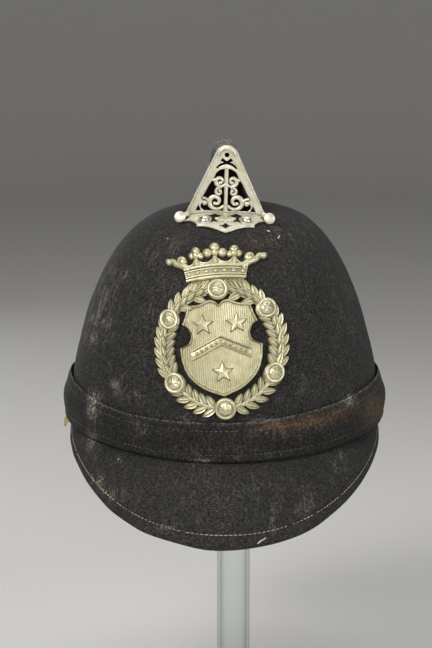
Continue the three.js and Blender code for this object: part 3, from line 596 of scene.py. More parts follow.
def wool(name, dark, worn, dust_all):
    """Napped wool cloth: crossing threads, uneven dye, dust in streaks, patches and specks, and painted shade
    where the shade mask is set.
    """
    paint = Paint(name, Roughness=0.95, Sheen_Weight=0.04, Sheen_Roughness=0.5, Specular_IOR_Level=0.12)
    warp = paint.noise((1500, 380, 1), 2, 0.6, uv=True)
    weft = paint.noise((380, 1500, 1), 2, 0.6, uv=True)
    nap = paint.noise((700,) * 3, 3, 0.7)
    fleck = paint.noise((420,) * 3, 3, 0.75)
    blotch = paint.noise((140,) * 3, 5, 0.75)
    drift = paint.noise((170, 36, 1), 4, 0.65, uv=True)
    streak = paint.noise((640, 80, 1), 2, 0.6, uv=True)
    dye = paint.noise((20,) * 3, 4)
    threads = paint.plus(paint.plus(warp, weft), nap)
    colour = paint.ramp(dye, [(0.32, dark), (0.52, tuple(1.12 * c for c in dark)), (0.72, worn)])
    rust = paint.times(paint.mask("rust"), paint.spread(blotch, 0.35, 0.6, 0.35, 1.0))
    colour = paint.mix(rust, colour, (0.125, 0.077, 0.042))
    powder = paint.times(paint.spread(blotch, 0.40, 0.64, 0.0, 1.2),
                         paint.spread(drift, 0.36, 0.62, 0.15, 1.0))
    powder = paint.times(powder, paint.spread(streak, 0.42, 0.62, 0.2, 1.7))
    dust = paint.times(paint.plus(paint.mask("dust"), dust_all), powder, clamp=True)
    colour = paint.mix(dust, colour, (0.215, 0.20, 0.175))
    specks = paint.times(paint.spread(fleck, 0.67, 0.75, 0.0, 1.0), paint.plus(paint.mask("dust"), 0.14))
    colour = paint.mix(specks, colour, (0.34, 0.33, 0.30))
    rubbed = paint.times(paint.mask("rubbed"), paint.spread(fleck, 0.42, 0.6, 0.06, 1.2))
    colour = paint.mix(rubbed, colour, (0.42, 0.4, 0.35))
    # painted shade: the shade mask darkens the cloth to near black where it lies in shade
    colour = paint.mix(paint.mask("shade"), colour, (0.004, 0.004, 0.004))
    paint.set("Base Color", paint.scaled(colour, paint.power(paint.times(threads, 0.66), 4.6)))
    paint.set("Normal", paint.bump(threads, 0.0004, 0.5))
    return paint.material


def cast_metal(name, bright, stained, patina_and_shade, rough, hatched=False, metallic=1.0):
    """Cast white metal: dark patina and painted shade in its hollows, rubbed bright on its edges, stained,
    pitted and scratched.
    """
    paint = Paint(name, Metallic=metallic)
    edge = paint.add("ShaderNodeNewGeometry").outputs["Pointiness"]
    hollow = paint.add("ShaderNodeAmbientOcclusion", {"Distance": 0.0022}, samples=6, only_local=True)
    stain = paint.noise((150,) * 3, 5, 0.65)
    pits = paint.noise((2400,) * 3, 3)
    scratches = paint.noise((2600, 900, 260), 2)
    # patina and painted shade: the hollows, found by ambient occlusion, darken towards the dark colour
    tone = paint.times(paint.spread(hollow.outputs["AO"], 0.35, 0.9, 0.1, 1.0),
                       paint.spread(edge, 0.44, 0.56, 0.6, 1.1))
    tone = paint.times(tone, paint.spread(scratches, 0.3, 0.7, 0.8, 1.12), clamp=True)
    normal = paint.bump(pits, 0.00015, 0.25)
    if hatched:
        lines = paint.wave((246, 0, 1))
        tone = paint.times(tone, paint.spread(lines, 0.0, 1.0, 0.8, 1.05), clamp=True)
        normal = paint.bump(lines, 0.0003, 0.6, normal)
    clean = paint.mix(paint.spread(stain, 0.42, 0.68, 0.0, 1.0), bright, stained)
    paint.set("Base Color", paint.mix(tone, patina_and_shade, clean))
    paint.set("Roughness", paint.spread(stain, 0.3, 0.75, rough, rough + 0.16))
    paint.set("Normal", normal)
    return paint.material


def clear_plastic(name):
    """Clear acrylic: it shines and darkens at glancing angles, and bears fine wiping marks."""
    paint = Paint(name, Base_Color=(0.9, 0.93, 0.93, 1), Metallic=1.0)
    wiping = paint.noise((60, 60, 900), 3)
    paint.set("Roughness", paint.spread(wiping, 0.4, 0.8, 0.02, 0.12))
    glance = paint.add("ShaderNodeLayerWeight", {"Blend": 0.5}).outputs["Facing"]
    tint = paint.mix(paint.power(glance, 2.5), (0.95, 0.965, 0.96), (0.42, 0.47, 0.47))
    see = paint.add("ShaderNodeBsdfTransparent", {"Color": tint}).outputs[0]
    shine = paint.plus(paint.times(paint.power(glance, 4.0), 0.8), 0.045)
    mixed = paint.add("ShaderNodeMixShader", {0: shine, 1: see, 2: paint.shader.outputs[0]}).outputs[0]
    output = next(node for node in paint.nodes if node.type == "OUTPUT_MATERIAL")
    paint.feed(output.inputs["Surface"], mixed)
    return paint.material


def thread(name, colour, soiled, clean=0.55):
    """Twisted sewing thread, soiled in places."""
    paint = Paint(name, Roughness=0.85, Specular_IOR_Level=0.2)
    spots = paint.noise((60,) * 3, 4)
    fibre = paint.noise((2200,) * 3, 2)
    paint.set("Base Color", paint.mix(paint.ramp(spots, [(clean - 0.25, 0.0), (clean, 1.0)]), soiled, colour))
    paint.set("Normal", paint.bump(fibre, 0.0002, 0.5))
    return paint.material


WOOL = wool("wool_cloth", (0.0245, 0.024, 0.0228), (0.033, 0.030, 0.0265), 0.06)
BAND_WOOL = wool("wool_cloth_band", (0.0183, 0.0179, 0.0168), (0.0245, 0.0222, 0.0196), 0.05)
DUSTY_WOOL = wool("dusty_cloth", (0.022, 0.0215, 0.021), (0.034, 0.031, 0.028), 0.0)
PALE_METAL = cast_metal(
    "pale_metal", (0.76, 0.715, 0.48), (0.61, 0.555, 0.32), (0.09, 0.08, 0.04), 0.38, metallic=0.82)
HATCHED_METAL = cast_metal(
    "pale_metal_hatched", (0.62, 0.58, 0.38), (0.53, 0.485, 0.285), (0.09, 0.08, 0.04), 0.42, hatched=True)
BOSS_METAL = cast_metal(
    "pale_metal_polished", (0.77, 0.73, 0.49), (0.64, 0.585, 0.345), (0.13, 0.115, 0.06), 0.3, metallic=0.75)
# Dark metal for the painted shade and grime round the foot of each star.
GRIME_AND_SHADE_METAL = cast_metal("pale_metal_dull", (0.32, 0.29, 0.17), (0.24, 0.215, 0.125), (0.06, 0.055, 0.03), 0.5)
WHITE_METAL = cast_metal(
    "white_metal", (0.9, 0.88, 0.745), (0.70, 0.65, 0.43), (0.10, 0.09, 0.055), 0.36, metallic=0.75)
BRIGHT_METAL = cast_metal("bright_metal", (0.88, 0.86, 0.8), (0.8, 0.77, 0.68), (0.3, 0.28, 0.22), 0.22)
BRASS = cast_metal("brass", (0.6, 0.48, 0.2), (0.3, 0.21, 0.08), (0.07, 0.05, 0.02), 0.36)
CLEAR = clear_plastic("clear_acrylic")
BAND_THREAD = thread("band_thread", (0.27, 0.245, 0.2), (0.034, 0.033, 0.031), 0.68)
DARK_THREAD = thread("dark_thread", (0.18, 0.165, 0.13), (0.036, 0.035, 0.033))
PALE_THREAD = thread("pale_thread", (0.5, 0.445, 0.34), (0.13, 0.115, 0.09))
LOOSE_THREAD = thread("loose_thread", (0.5, 0.42, 0.27), (0.22, 0.18, 0.11))
FLUFF = thread("fluff", (0.6, 0.58, 0.52), (0.3, 0.29, 0.26), 0.5)

# Marks on the cloth as seen from the front: across and up, reach across and up, and strength.
DUST = [
    (-82, 8, 6, 15, 0.7), (-76, 22, 8, 26, 0.35), (-66, 34, 4, 4, 0.5), (-72, -41, 4, 5, 0.8),
    (-86, -54, 4, 9, 0.9), (-58, -48, 4, 4, 0.5), (-58, -69, 5, 5, 0.5), (-87.5, -79, 4, 7, 1.0),
    (-70, -89, 2, 2, 0.9), (-13.5, -90.6, 6, 1.4, 1.0), (-71, -112, 6, 5, 0.5), (74, -92, 6, 9, 0.5),
    (54, -117, 5, 9, 0.45), (32, -128, 3, 7, 0.5), (-86, -50, 5, 7, 0.6), (46, 62, 22, 10, 0.2),
    (-36, 48, 12, 14, 0.2), (33, 57, 5, 4, 0.5), (-40, 10, 30, 36, 0.12), (80, 8, 8, 30, 0.16),
    (51, -44, 4, 6, 0.3), (-20, -62, 20, 3, 0.25), (10, -84, 40, 4, 0.15), (0, -112, 50, 14, 0.12),
    (40, -72, 30, 5, 0.2), (-88, -4, 4, 10, 1.0),
]
RUST = [
    (28, -67, 10, 3.0, 0.7), (46, -67, 12, 3.6, 0.85), (62, -63.5, 10, 3.6, 0.8), (76, -58, 8, 4, 0.6),
    (99, -56, 7, 9, 0.75), (-2, -118, 12, 16, 0.12), (20, 54, 7, 3, 0.3),
]
RUBBED = [
    (82.5, -50, 4, 4, 0.6), (26, -63.6, 7, 1.3, 0.4), (-82, -104, 2, 5, 0.35), (-39, -134.5, 5, 1, 0.4),
    (-86, -48.5, 3, 3, 0.55), (-87.5, -56, 2, 7, 0.42), (-72.5, -40, 2, 3, 0.45), (-88, -77, 3, 5, 0.3),
    (-13.5, -90.4, 5, 1.1, 0.4),
]
# Painted shade: darker cloth on the right of the front peak, and the badge's shadow on the cloth round and
# under it.
PAINTED_SHADE = [(66, -104, 34, 30, 0.2), (-3, -15, 28, 28, 0.8)]
# Bits of fluff on a piece, as seen from the front: both ends and the radius.
CROWN_FLUFF = [
    ((27.8, 61.6), (30.2, 60.9), 0.45), ((36.4, 58.6), (35.3, 56.0), 0.48),
    ((-37.9, 56.0), (-37.0, 56.8), 0.3),
]
PEAK_FLUFF = [
    ((21.6, -145.2), (24.8, -142.4), 0.42), ((24.2, -143.2), (27.6, -141.0), 0.36),
    ((-70.4, -89.5), (-69.6, -88.7), 0.42),
]
PEAK_FRAYS = [(-82, -69), (-39, -28)]  # stretches of the front hem, across


def marks(table):
    """A mask of smooth spots, on the front half only."""
    def mask(points):
        across, up = seen(points).T
        facing = np.clip((5 - points[:, 1]) / 40, 0, 1)
        reach = [a * np.exp(-((across - x) / rx) ** 2 - ((up - z) / rz) ** 2) for x, z, rx, rz, a in table]
        return facing * sum(reach)

    return mask


CLOTH_MASKS = {"dust": marks(DUST), "rust": marks(RUST), "rubbed": marks(RUBBED), "shade": marks(PAINTED_SHADE)}


# Cloth pieces

def fluff(name, ground, lines):
    """Bits of pale fluff that lie on a cloth, each along a line as seen from the front."""
    ground = ground.reshape(-1, 3)
    places = seen(ground)
    shape = Shape()
    for start, end, radius in lines:
        line = []
        for goal in np.linspace(start, end, 9):
            weight = np.exp(-((places - goal) ** 2).sum(1) / 1.5)
            line.append(weight @ ground / weight.sum())
        line = np.array(line) + (0, -0.2, 0.1)
        side = unit(np.cross(line[-1] - line[0], (0, -1, 0.5)))
        out = unit(np.cross(side, line[-1] - line[0]))
        shape.grid(strand(line, side, 0.5 * out, radius))
    make(name, shape, FLUFF)


def make_crown():
    """Outer face from the top down, the fold at the rim, and the inner face back up."""
    turn = circle(CLOTH_COLUMNS)
    rows, inner_rows = 160, 40
    full = PROFILE_LENGTH[-1]
    fold = np.linspace(0, pi, 7)[1:-1]
    down = np.concatenate([np.linspace(1, 0, rows) * full, 0 * fold, np.linspace(0, 1, inner_rows) * full])
    inset = [np.zeros(rows), (np.cos(fold) - 1) * CROWN_WALL / 2, np.full(inner_rows, -CROWN_WALL)]
    height = np.interp(down, PROFILE_LENGTH, HEIGHT)[:, None]
    points = crown(turn, height, np.concatenate(inset)[:, None])
    points[rows:rows + len(fold), :, 2] -= (np.sin(fold) * CROWN_WALL / 2)[:, None]
    normal = crown(turn, height, 1) - crown(turn, height, 0)
    sag = sum(depth * (ripple(points, breadth) - 0.6) for depth, breadth in CROWN_SAGS)
    points += normal * sag[..., None]
    cloth = Shape().grid(points, columns(turn * CROWN_GIRTH, down[:, None]))
    make("crown_cloth", cloth, WOOL, "crown", masks=CLOTH_MASKS)
    fluff("crown_fluff", points[:rows, np.cos(turn) > 0.2], CROWN_FLUFF)


def band_surface(angle, across, layer, out=0.0, sewn=0.0):
    """A point of the band: across from its foot to its top, and through it from its inner face."""
    at, *sections = smooth_curve(BAND_SECTIONS, 12).T
    front, side, wall = (np.interp(across, at, section) for section in sections)
    foot, top = edge_height(BAND_FOOT, angle), edge_height(BAND_TOP, angle)
    stand = front + (side - front) * np.sin(angle) ** 4
    return crown(angle, foot + (top - foot) * across, (stand + layer * wall + out) * (1 - sewn) - 0.9 * sewn)


def make_band():
    turn = circle(CLOTH_COLUMNS)
    across = np.linspace(0, 1, 61)[:, None]
    lip = rounding(0.5 - np.abs(across - 0.5), BAND_ROUNDING)
    groove = sum(BAND_SEAM_DEPTH * hump(across - at, 0.018) for at in BAND_SEAMS.values())
    roll = BAND_ROLL["height"] * hump(across - BAND_ROLL["at"], BAND_ROLL["reach"])
    plain = band_surface(turn, across, 1.0)
    uneven = BAND_SAG["depth"] * ripple(plain, BAND_SAG["breadth"]) - BAND_SAG["inset"]
    outer = band_surface(turn, across, 0.5 + 0.5 * lip, lip * (roll - groove + uneven))
    sewn = np.clip(2.4 - 6 * np.abs(across - 0.5), 0, 1)
    inner = band_surface(turn, across[::-1], 0.5 - 0.5 * lip[::-1], sewn=sewn[::-1])
    uv = columns(turn * BAND_GIRTH, np.concatenate([across, across[::-1]]) * BAND_WIDTH)

    def worn(points):
        top = edge_height(BAND_TOP, np.arctan2(points[:, 0] / 100, -points[:, 1] / 120))
        return 0.26 * hump(points[:, 2] - top, 0.9) + marks(RUBBED)(points)

    cloth = Shape().grid(np.concatenate([outer, inner]), uv, ring=True)
    make("band_cloth", cloth, BAND_WOOL, "band", masks={**CLOTH_MASKS, "rubbed": worn})
    for name, at in BAND_SEAMS.items():
        level = np.full_like(turn, at)
        path = band_surface(turn, level, 1.0, -BAND_SEAM_DEPTH - 0.15)
        out = band_surface(turn, level, 1.0, 1.0) - path
        material = BAND_THREAD if name == "top" else DARK_THREAD
        stitches(f"band_{name}_stitches", path, out, material, radius=0.18)


def stitches(name, path, out, material, pitch=2.9, length=2.2, radius=0.24, missing=0.08, frayed=()):
    """A row of short raised threads along a path on the cloth, uneven and here and there worn away."""
    chance = np.random.default_rng(len(name))
    reach = lengths(path)
    centre = np.arange(pitch / 2, reach[-1], pitch)
    centre = centre[chance.random(len(centre)) > missing]
    up = unit(columns(*(np.interp(centre, reach, column) for column in out.T)))
    steps = np.linspace(-1, 1, 7)
    shape, frays = Shape(), Shape()
    for at, normal in zip(centre, up):
        line = along(path, at + steps * length / 2 * chance.uniform(0.75, 1.1))
        side = unit(np.cross(line[-1] - line[0], normal))
        line = line + side * (steps * chance.uniform(-0.2, 0.2))[:, None]
        shape.grid(strand(line, side, normal, radius))
        for _ in range(4 if any(low < line[3, 0] < high for low, high in frayed) else 0):
            loose = side * chance.uniform(-2.6, 2.6) + normal * chance.uniform(0.2, 0.9)
            loose = loose + (line[-1] - line[0]) * chance.uniform(-0.6, 0.6)
            hair = line[3] + (steps[:, None] + 1) / 2 * loose
            frays.grid(strand(hair, side, normal, 1.1 * radius))
    make(name, shape, material)
    if frays.count:
        make(f"{name}_frays", frays, LOOSE_THREAD)


def peak_surface(shape, turn, part, out):
    """A point of a peak: part from its seam (0) to its edge (1), and out from its middle surface."""
    angle = shape["heading"] + turn
    seam_gap = PEAK_WALL / 2 + PEAK_SEAM_GAP

    def bend(value):
        return np.sign(value) * np.abs(value) ** (2 / PEAK_ROUNDNESS)

    def edge(a):
        x, y = PEAK_HALF_WIDTH * bend(np.sin(a)), -shape["reach"] * bend(np.cos(a))
        late = np.abs(y / shape["reach"]) ** PEAK_DROP_CURVE
        return columns(x, y, -(PEAK_SIDE_DROP + (shape["drop"] - PEAK_SIDE_DROP) * late))

    seam = crown(angle, edge_height(BAND_FOOT, angle) - seam_gap, seam_gap)
    slope = edge(angle) - seam
    normal = unit(np.cross(slope, edge(angle + 0.01) - edge(angle - 0.01)))
    rise = 4 * part * (1 - part) * shape["bulge"] * np.cos(turn)
    return seam + slope * part[..., None] + normal * (rise + out)[..., None], np.linalg.norm(slope, axis=-1)


def make_peak(side):
    shape = PEAK_SHAPES[side]
    turn = np.linspace(-PEAK_END_ANGLE, PEAK_END_ANGLE, 221)[None]
    part = (1 - np.linspace(1, 0, 61) ** 1.6)[:, None] * np.ones_like(turn)
    flat, reach = peak_surface(shape, turn, part, 0 * part)
    inset = (1 - part) * reach
    half = PEAK_WALL / 2
    lip = half * rounding(inset, PEAK_EDGE_RADIUS)
    hem = PEAK_HEM_HEIGHT * np.sqrt(np.sin(pi * np.clip(inset / PEAK_HEM, 0, 1)))
    groove = PEAK_GROOVE["depth"] * hump(inset - PEAK_HEM, PEAK_GROOVE["reach"])
    sag = sum(depth * ripple(flat, breadth, seed) for depth, breadth, seed in PEAK_SAGS)
    uneven = np.clip(inset, 0, 3) / 3 * (sag - 0.3)
    part = part + PEAK_WAVER * ripple(flat, 26.0, 7.0) * part ** 4 / np.clip(reach, 30, None)
    over, _ = peak_surface(shape, turn, part, lip + np.clip(reach / 20, 0, 1) * (hem - groove) + uneven)
    under, _ = peak_surface(shape, turn, part[::-1], -lip[::-1] - 0.3 * hem[::-1])
    uv = columns(turn * PEAK_GIRTH, part * reach)
    cloth = Shape().grid(np.concatenate([over, under]), np.concatenate([uv, uv[::-1]]), ring=True)
    for end in (0, -1):
        cloth.grid(np.stack([over[:, end], under[::-1, end]], 1))
    make(f"{side}_peak_cloth", cloth, WOOL, f"{side}_peak", masks=CLOTH_MASKS)
    if side == "front":
        fluff("front_peak_fluff", over, PEAK_FLUFF)
    line = 1 - PEAK_HEM / reach[:1]
    keep = (line > 0.15)[0]
    path, _ = peak_surface(shape, turn, line, half - 0.55 + 0 * line)
    lifted, _ = peak_surface(shape, turn, line, half + 1 + 0 * line)
    frayed = PEAK_FRAYS if side == "front" else ()
    stitches(f"{side}_peak_stitches", path[0][keep], (lifted - path)[0][keep], PALE_THREAD,
             pitch=2.8, length=2.5, radius=0.28, missing=0.06, frayed=frayed)


def make_comb():
    y, ridge, top, base = (column[:, None] for column in smooth_curve(COMB_SECTIONS, 12).T)
    waist = top + 0.38 * (base - top)
    part = np.array([1, 0.995, 0.975, 0.87, 0.4, 0])
    right = np.concatenate([0 * y, 0.3 * top, 0.55 * top, top, waist, base], 1)
    knots = np.array([0, 0.14, 0.27, 0.44, 0.74, 1])
    fine = np.linspace(0, 1, 31)

    def curve(values):
        at, value = smooth_curve(columns(knots, values)).T
        return np.interp(fine, at, value)

    def floor(x, y):
        low = crown_over(x, y)[..., 2]
        return low + COMB_GAP / (crown_over(x, y, 1)[..., 2] - low)

    across = np.stack([curve(row) for row in right])
    foot = [floor(side * base, y) + COMB_EDGE for side in (-1, 1)]
    left, right = (low + (ridge - low) * curve(part) for low in foot)
    x = np.concatenate([-across[:, :0:-1], across], 1)
    z = np.concatenate([left[:, :0:-1], right], 1)
    y = np.broadcast_to(y, x.shape)
    outer, inner = columns(x, y, z), columns(x, y, floor(x, y))
    outer[..., 2] += np.clip(z - inner[..., 2] - 1, 0, 4) / 4 * 0.6 * (ripple(outer, 9.0) - 0.3)
    loops = np.concatenate([outer, inner[:, ::-1], outer[:, :1]], 1)
    shape = Shape().grid(loops, columns(loops[..., 0] + loops[..., 2], loops[..., 1]))
    for end in (0, -1):
        shape.grid(np.stack([outer[end], inner[end]], 0))
    front = COMB_SECTIONS[0][0]
    masks = {
        # dust and wear lighten the comb towards its ridge, partly as painted light from above
        "dust": lambda p: np.clip((p[:, 2] - COMB_DUST_AND_LIGHT_FROM) / 10, 0, 1) * (p[:, 1] > front + 0.5),
        "rust": lambda p: np.zeros(len(p)),
        "rubbed": lambda p: 0.42 * np.clip((p[:, 2] - COMB_WEAR_AND_LIGHT_FROM) / 5, 0, 1),
        # painted shade: the comb's front face, in shade behind the crest plate, is darkened to near black
        "shade": lambda p: (p[:, 1] < front + 0.1) * (p[:, 2] < COMB_SHADED_TO),
    }
    make("comb_cloth", shape, DUSTY_WOOL, "comb", crease=50, masks=masks)


# Crest plate

def scroll(x, y, outer, inner, start, turns, side, steps=40):
    """A path that winds in from the outer to the inner radius."""
    part = np.linspace(0, 1, steps)
    angle = radians(start) + 2 * pi * turns * part
    radius = outer + (inner - outer) * part ** 0.8
    return columns(side * (x + radius * np.cos(angle)), y + radius * np.sin(angle))


def arch(points, per_span=6):
    return [tuple(p) for p in smooth_curve(points, per_span)]


# Half outlines of the upright part, across and up from the fold, and of the foot, across and forward of it.
CREST_WINDOW = arch([
    (13.8, 2.2), (15.6, 4.0), (15.4, 6.2), (13.0, 7.4), (15.0, 9.2), (12.9, 13.8), (10.6, 18.4), (7.6, 22.8),
    (6.4, 25.8), (3.4, 28.0), (0.3, 28.6),
])
CREST_CORNER = [(15.6, 2.1), (19.0, 1.7), (17.2, 5.6)]
CREST_CROSS = [
    (0.3, 33.4), (2.7, 35.2), (3.9, 33.4), (1.8, 32.5), (3.8, 31.8), (5.5, 30.5), (6.8, 28.8), (5.5, 28.6),
    (4.5, 29.6), (3.0, 30.5), (0.3, 31.4),
]
CREST_FOOT = [
    (0, 23), (3.6, 21.5), (6, 20), (8, 18.8), (11, 17.3), (14.6, 15.9), (17.8, 15.1), (17.7, 13.8),
    (18.2, 12.2), (19.8, 9.6), (22, 7.2), (24.5, 6.0), (27.6, 5.4), (28.2, -1.6),
]
CREST_EYE = [
    (1.4, 5.4), (4.2, 3.1), (6.6, 0.6), (8.7, 2.2), (12.0, 3.6), (9.8, 5.4), (8.7, 7.6), (8.6, 10.4),
    (9.8, 14.0), (7.4, 12.4), (4.2, 13.6), (5.6, 10.8), (5.6, 8.4), (3.8, 6.6),
]
CREST_LOZENGE = [
    (4.1, 17.2), (1.8, 16.3), (0, 14.3), (-1.8, 16.3), (-4.1, 17.2), (-1.8, 18.2), (0, 20), (1.8, 18.2),
]
CREST_BLADE = [(0.4, 12.2), (2.4, 10.6), (4.6, 9.2), (6.4, 9.4)]
# Scrolls: centre, outer and inner radius, start, turns, and the bar's widths from end to end.
CREST_SCROLLS = [
    ((6.4, 7.9, 5.6, 1.3, 205, 1.25), (1.8, 3.2, 2.4, 1.9)),
    ((3.9, 20.6, 3.8, 1.0, 195, 1.2), (1.5, 2.8, 2.1, 1.6)),
    ((4.3, 14.0, 2.8, 0.8, 120, -1.0), (1.2, 2.2, 1.7, 1.4)),
]
# Spurs that tie the scrolls to the rim: path, and widths from end to end.
CREST_SPURS = [
    ([(10.8, 8.2), (12.6, 9.6), (14.6, 9.8)], (1.8, 1.6, 2.0)),
    ([(6.6, 21.8), (8.8, 21.2)], (1.8, 2.0)),
]


def crest_upright():
    shoulder = CREST_APEX - CREST_FOLD - CREST_APEX_RADIUS
    across = np.linspace(-CREST_BASE_HALF, CREST_BASE_HALF, 11)
    fold = on_crest_foot(columns(across, 0, 0))[:, 2] - CREST_FOLD
    base = [*zip(across, fold + 1 + across * math.tan(CREST_LEAN))]

    def cap(radius, first, last, count=9):
        return oval(radius, radius, radians(first), radians(last), count, (0, shoulder))

    outline = [*base, *mirrored([(CREST_BASE_HALF, 0.4), *cap(CREST_APEX_RADIUS, 24, 86)])]
    holes = [mirrored(CREST_WINDOW), *both_sides(CREST_CORNER), mirrored(CREST_CROSS), ring_of(0, 37.2, 1.5)]
    shape = Shape().add(*pierced(outline, holes, CREST_WALL, 0.3))
    low, high, face = 0.2, CREST_WALL + 0.3, CREST_WALL - 0.2
    shape.grid(bar([(0, 1.4), (0, 10), (0, 20), (0, 28.6)], (3.6, 2.2, 3.0, 2.4), low, high))
    rim = [(CREST_BASE_HALF - 0.9, 1.0), *cap(CREST_APEX_RADIUS - 0.6, 24, 90)]
    inner = [(x + 0.7, y + 0.3) for x, y in CREST_WINDOW[18:-6]]
    for side in (1, -1):
        for row, widths in CREST_SCROLLS:
            path = scroll(*row, side)
            shape.grid(bar(path, widths, low, high))
            shape.grid(dome(*path[-1], 1.25, low, high + 0.15))
        for spur, widths in CREST_SPURS:
            shape.grid(bar(on_side(side, spur), widths, low, high))
        shape.grid(dome(side * 13.2, 6.9, 1.7, low, high + 0.1))
        shape.grid(bar(spaced(on_side(side, rim), 40), (0.9, 0.9), face, CREST_WALL + 0.45))
        shape.grid(bar(spaced(on_side(side, inner), 24), (0.5, 0.7, 0.5), face, CREST_WALL + 0.3))
    brow = cap(CREST_APEX_RADIUS - 1.9, 168, 12, 24)
    shape.grid(bar(brow, (1.6, 3.0, 1.6), face, CREST_WALL + 0.95))
    shape.grid(bar([(x, y - 2.6) for x, y in brow], (0.3, 0.5, 0.3), face, CREST_WALL + 0.3))
    return shape.laid(on_crest)


def crest_foot():
    outline = mirrored(CREST_FOOT[1:]) + CREST_FOOT[:1]
    plate = pierced(outline, [*both_sides(CREST_EYE), CREST_LOZENGE], CREST_SHEET, 0.2)
    points, faces = diced(*plate, 2.0)
    shape = Shape().add(points + (0, 0, SEAT), faces)
    face, high = SEAT + CREST_SHEET - 0.2, SEAT + CREST_SHEET + 0.35
    rim = [(x * 0.97, forward - 1.1) for x, forward in CREST_FOOT[:8]]
    for side in (1, -1):
        shape.grid(bar(spaced(on_side(side, rim), 30), (0.9, 0.9), face, high))
        blade = smooth_curve(on_side(side, CREST_BLADE), 8)
        shape.grid(bar(blade, (1.4, 3.0, 2.4, 1.0), SEAT + 0.3, high + 0.3))
        shape.grid(bar(spaced([(side * 12, 1.6), (side * 25, 1.6)], 12), (0.6, 0.9), face, high))
        ring = ring_of(side * RIVET["x"], RIVET["forward"], RIVET["radius"] + 0.7, 28)
        shape.grid(bar([*ring, ring[0]], (0.8, 0.8), face, high))
    shape.grid(dome(0, 12.2, 1.7, face, high + 0.3))
    return shape.laid(on_crest_foot)


def make_crest_plate():
    whole = crest_upright()
    foot = crest_foot()
    whole.add(np.vstack(foot.points), foot.faces)
    radius = CREST_BALL["radius"]
    ball = turned(oval(radius, radius, -pi / 2, pi / 2, 17), 28)
    front = np.array([0, -math.cos(0.3), math.sin(0.3)])
    ball = ball - CREST_BALL_FLATTENED * (ball @ front)[..., None] * front
    for side, name in ((1, "right"), (-1, "left")):
        x, forward = CREST_BALL[name]
        ends = [[side * (CREST_BASE_HALF - 1.6), 1.0, 2.6], [x, forward, radius + SEAT]]
        start, centre = on_crest_foot(np.array(ends))
        whole.grid(limb(start, centre, 2.0, 1.1))
        whole.grid(ball + centre)
    make("crest_plate_cast", whole, WHITE_METAL, "crest_plate", crease=38)
    rows = [*oval(RIVET["radius"], RIVET["height"], 0, 1.45, 12), (0, RIVET["height"])]
    for side, name in ((-1, "left"), (1, "right")):
        place = (side * RIVET["x"], RIVET["forward"])
        rivet = Shape().grid(turned(rows, 32, place, CREST_SHEET + 2 * SEAT))
        node = f"crest_rivet_{name}"
        make(f"{node}_head", rivet.laid(on_crest_foot), BRIGHT_METAL, node)


# Badge

def wreath_point(degrees):
    """A place on the wreath's oval. Angle 0 is at the bottom, and grows towards the viewer's right."""
    angle = np.radians(degrees)
    up = WREATH["middle"] - WREATH["half_height"] * np.cos(angle)
    return columns(WREATH["half_width"] * np.sin(angle), up)


def wreath_heading(degrees):
    step = wreath_point(degrees + 1) - wreath_point(degrees - 1)
    return math.atan2(step[1], step[0])


def leaf(root, heading, length, half, lift=0.0):
    """A pointed leaf with a raised outline and midrib, whose tip lies over the next leaf."""
    part = np.linspace(0.02, 1, 17)[:, None]
    across = np.linspace(-1, 1, 13)[None]
    spread = half * part ** 0.6 * (1 - part) ** 0.85 / 0.374
    fold = (0.5 + 0.5 * np.cos(2 * pi * across)) * np.sin(pi * part) ** 0.5
    body = LEAF["base"] + lift + LEAF["slope"] * part * (1 - 0.25 * part) + LEAF["fold"] * fold
    foot = np.full_like(part, SEAT)
    w = np.concatenate([foot, body, foot], 1)
    x, y = part * length, spread * across[:, [0, *range(13), -1]]
    cos, sin = math.cos(heading), math.sin(heading)
    return columns(root[0] + x * cos - y * sin, root[1] + x * sin + y * cos, w)


def rim_level(u, rise, arch_height):
    """Height of a line along the coronet's arched rim."""
    bow = arch_height * (1 - (u / CORONET_RIM["half"]) ** 2)
    return CORONET_RIM["foot"] + rise + bow + CORONET_LEAN * u


def rim_foot(u):
    return rim_level(u, SEAT, CORONET_RIM["foot_arch"])


def rim_top(u):
    return rim_level(u, CORONET_RIM["height"], CORONET_RIM["foot_arch"] + CORONET_RIM["arch"])


def make_wreath():
    shape = Shape()
    for right, left, rows, length, half, outer_splay, inner_splay, inner_rows, middle in LAUREL:
        for side, (first, last) in ((1, right), (-1, left)):
            for row, degrees in enumerate(np.linspace(first, last, rows)):
                root = wreath_point(side * degrees)
                heading = wreath_heading(side * degrees) + (pi if side < 0 else 0)
                across = np.array([-math.sin(heading), math.cos(heading)])
                for turn in (side, -side) if row in inner_rows else (-side,):
                    bend = radians(inner_splay if turn == side else outer_splay)
                    lift = 0.4 if middle and turn == side else 0.0
                    shape.grid(leaf(root + across * turn * 0.4, heading + turn * bend, length, half, lift))
                if middle:
                    shape.grid(leaf(root, heading, length, 0.9 * half, 0.3))
            stem = wreath_point(side * np.linspace(first - 6, last + 5, 30))
            shape.grid(bar(stem, (5.0, 5.0) if middle else (3.0, 3.0), SEAT, 1.2))
    for degrees in BOSS_ANGLES:
        radius, top = BOSS_RADIUS + 0.4, BOSS_SEAT_TOP
        rows = [(radius, SEAT), (radius, top - 0.5), (radius - 0.5, top), (0, top)]
        shape.grid(turned(rows, 32, wreath_point(degrees)))
    u = np.linspace(-1, 1, 61)[:, None]
    v = np.linspace(0, 1, 9)[None]
    across = u * (COLLAR["half"] + COLLAR["flare"] * v)
    low = COLLAR["foot"]
    ground = columns(across, low + (rim_foot(across) - 0.15 - low) * v, COLLAR["height"])
    ground[:, [0, -1], 2] = SEAT
    ground[[0, -1], :, 2] = SEAT
    shape.grid(ground)
    for side in (1, -1):
        heading = radians(90 + side * COLLAR_SPLAY)
        for x, y in on_side(side, COLLAR_LEAVES):
            length = (rim_foot(x) - 0.2 - y) / math.sin(heading)
            shape.grid(leaf((x, y), heading, length, COLLAR_LEAF_HALF, 0.1))
    make("badge_wreath_cast", shape.laid(on_badge), PALE_METAL, "badge_wreath", crease=60)


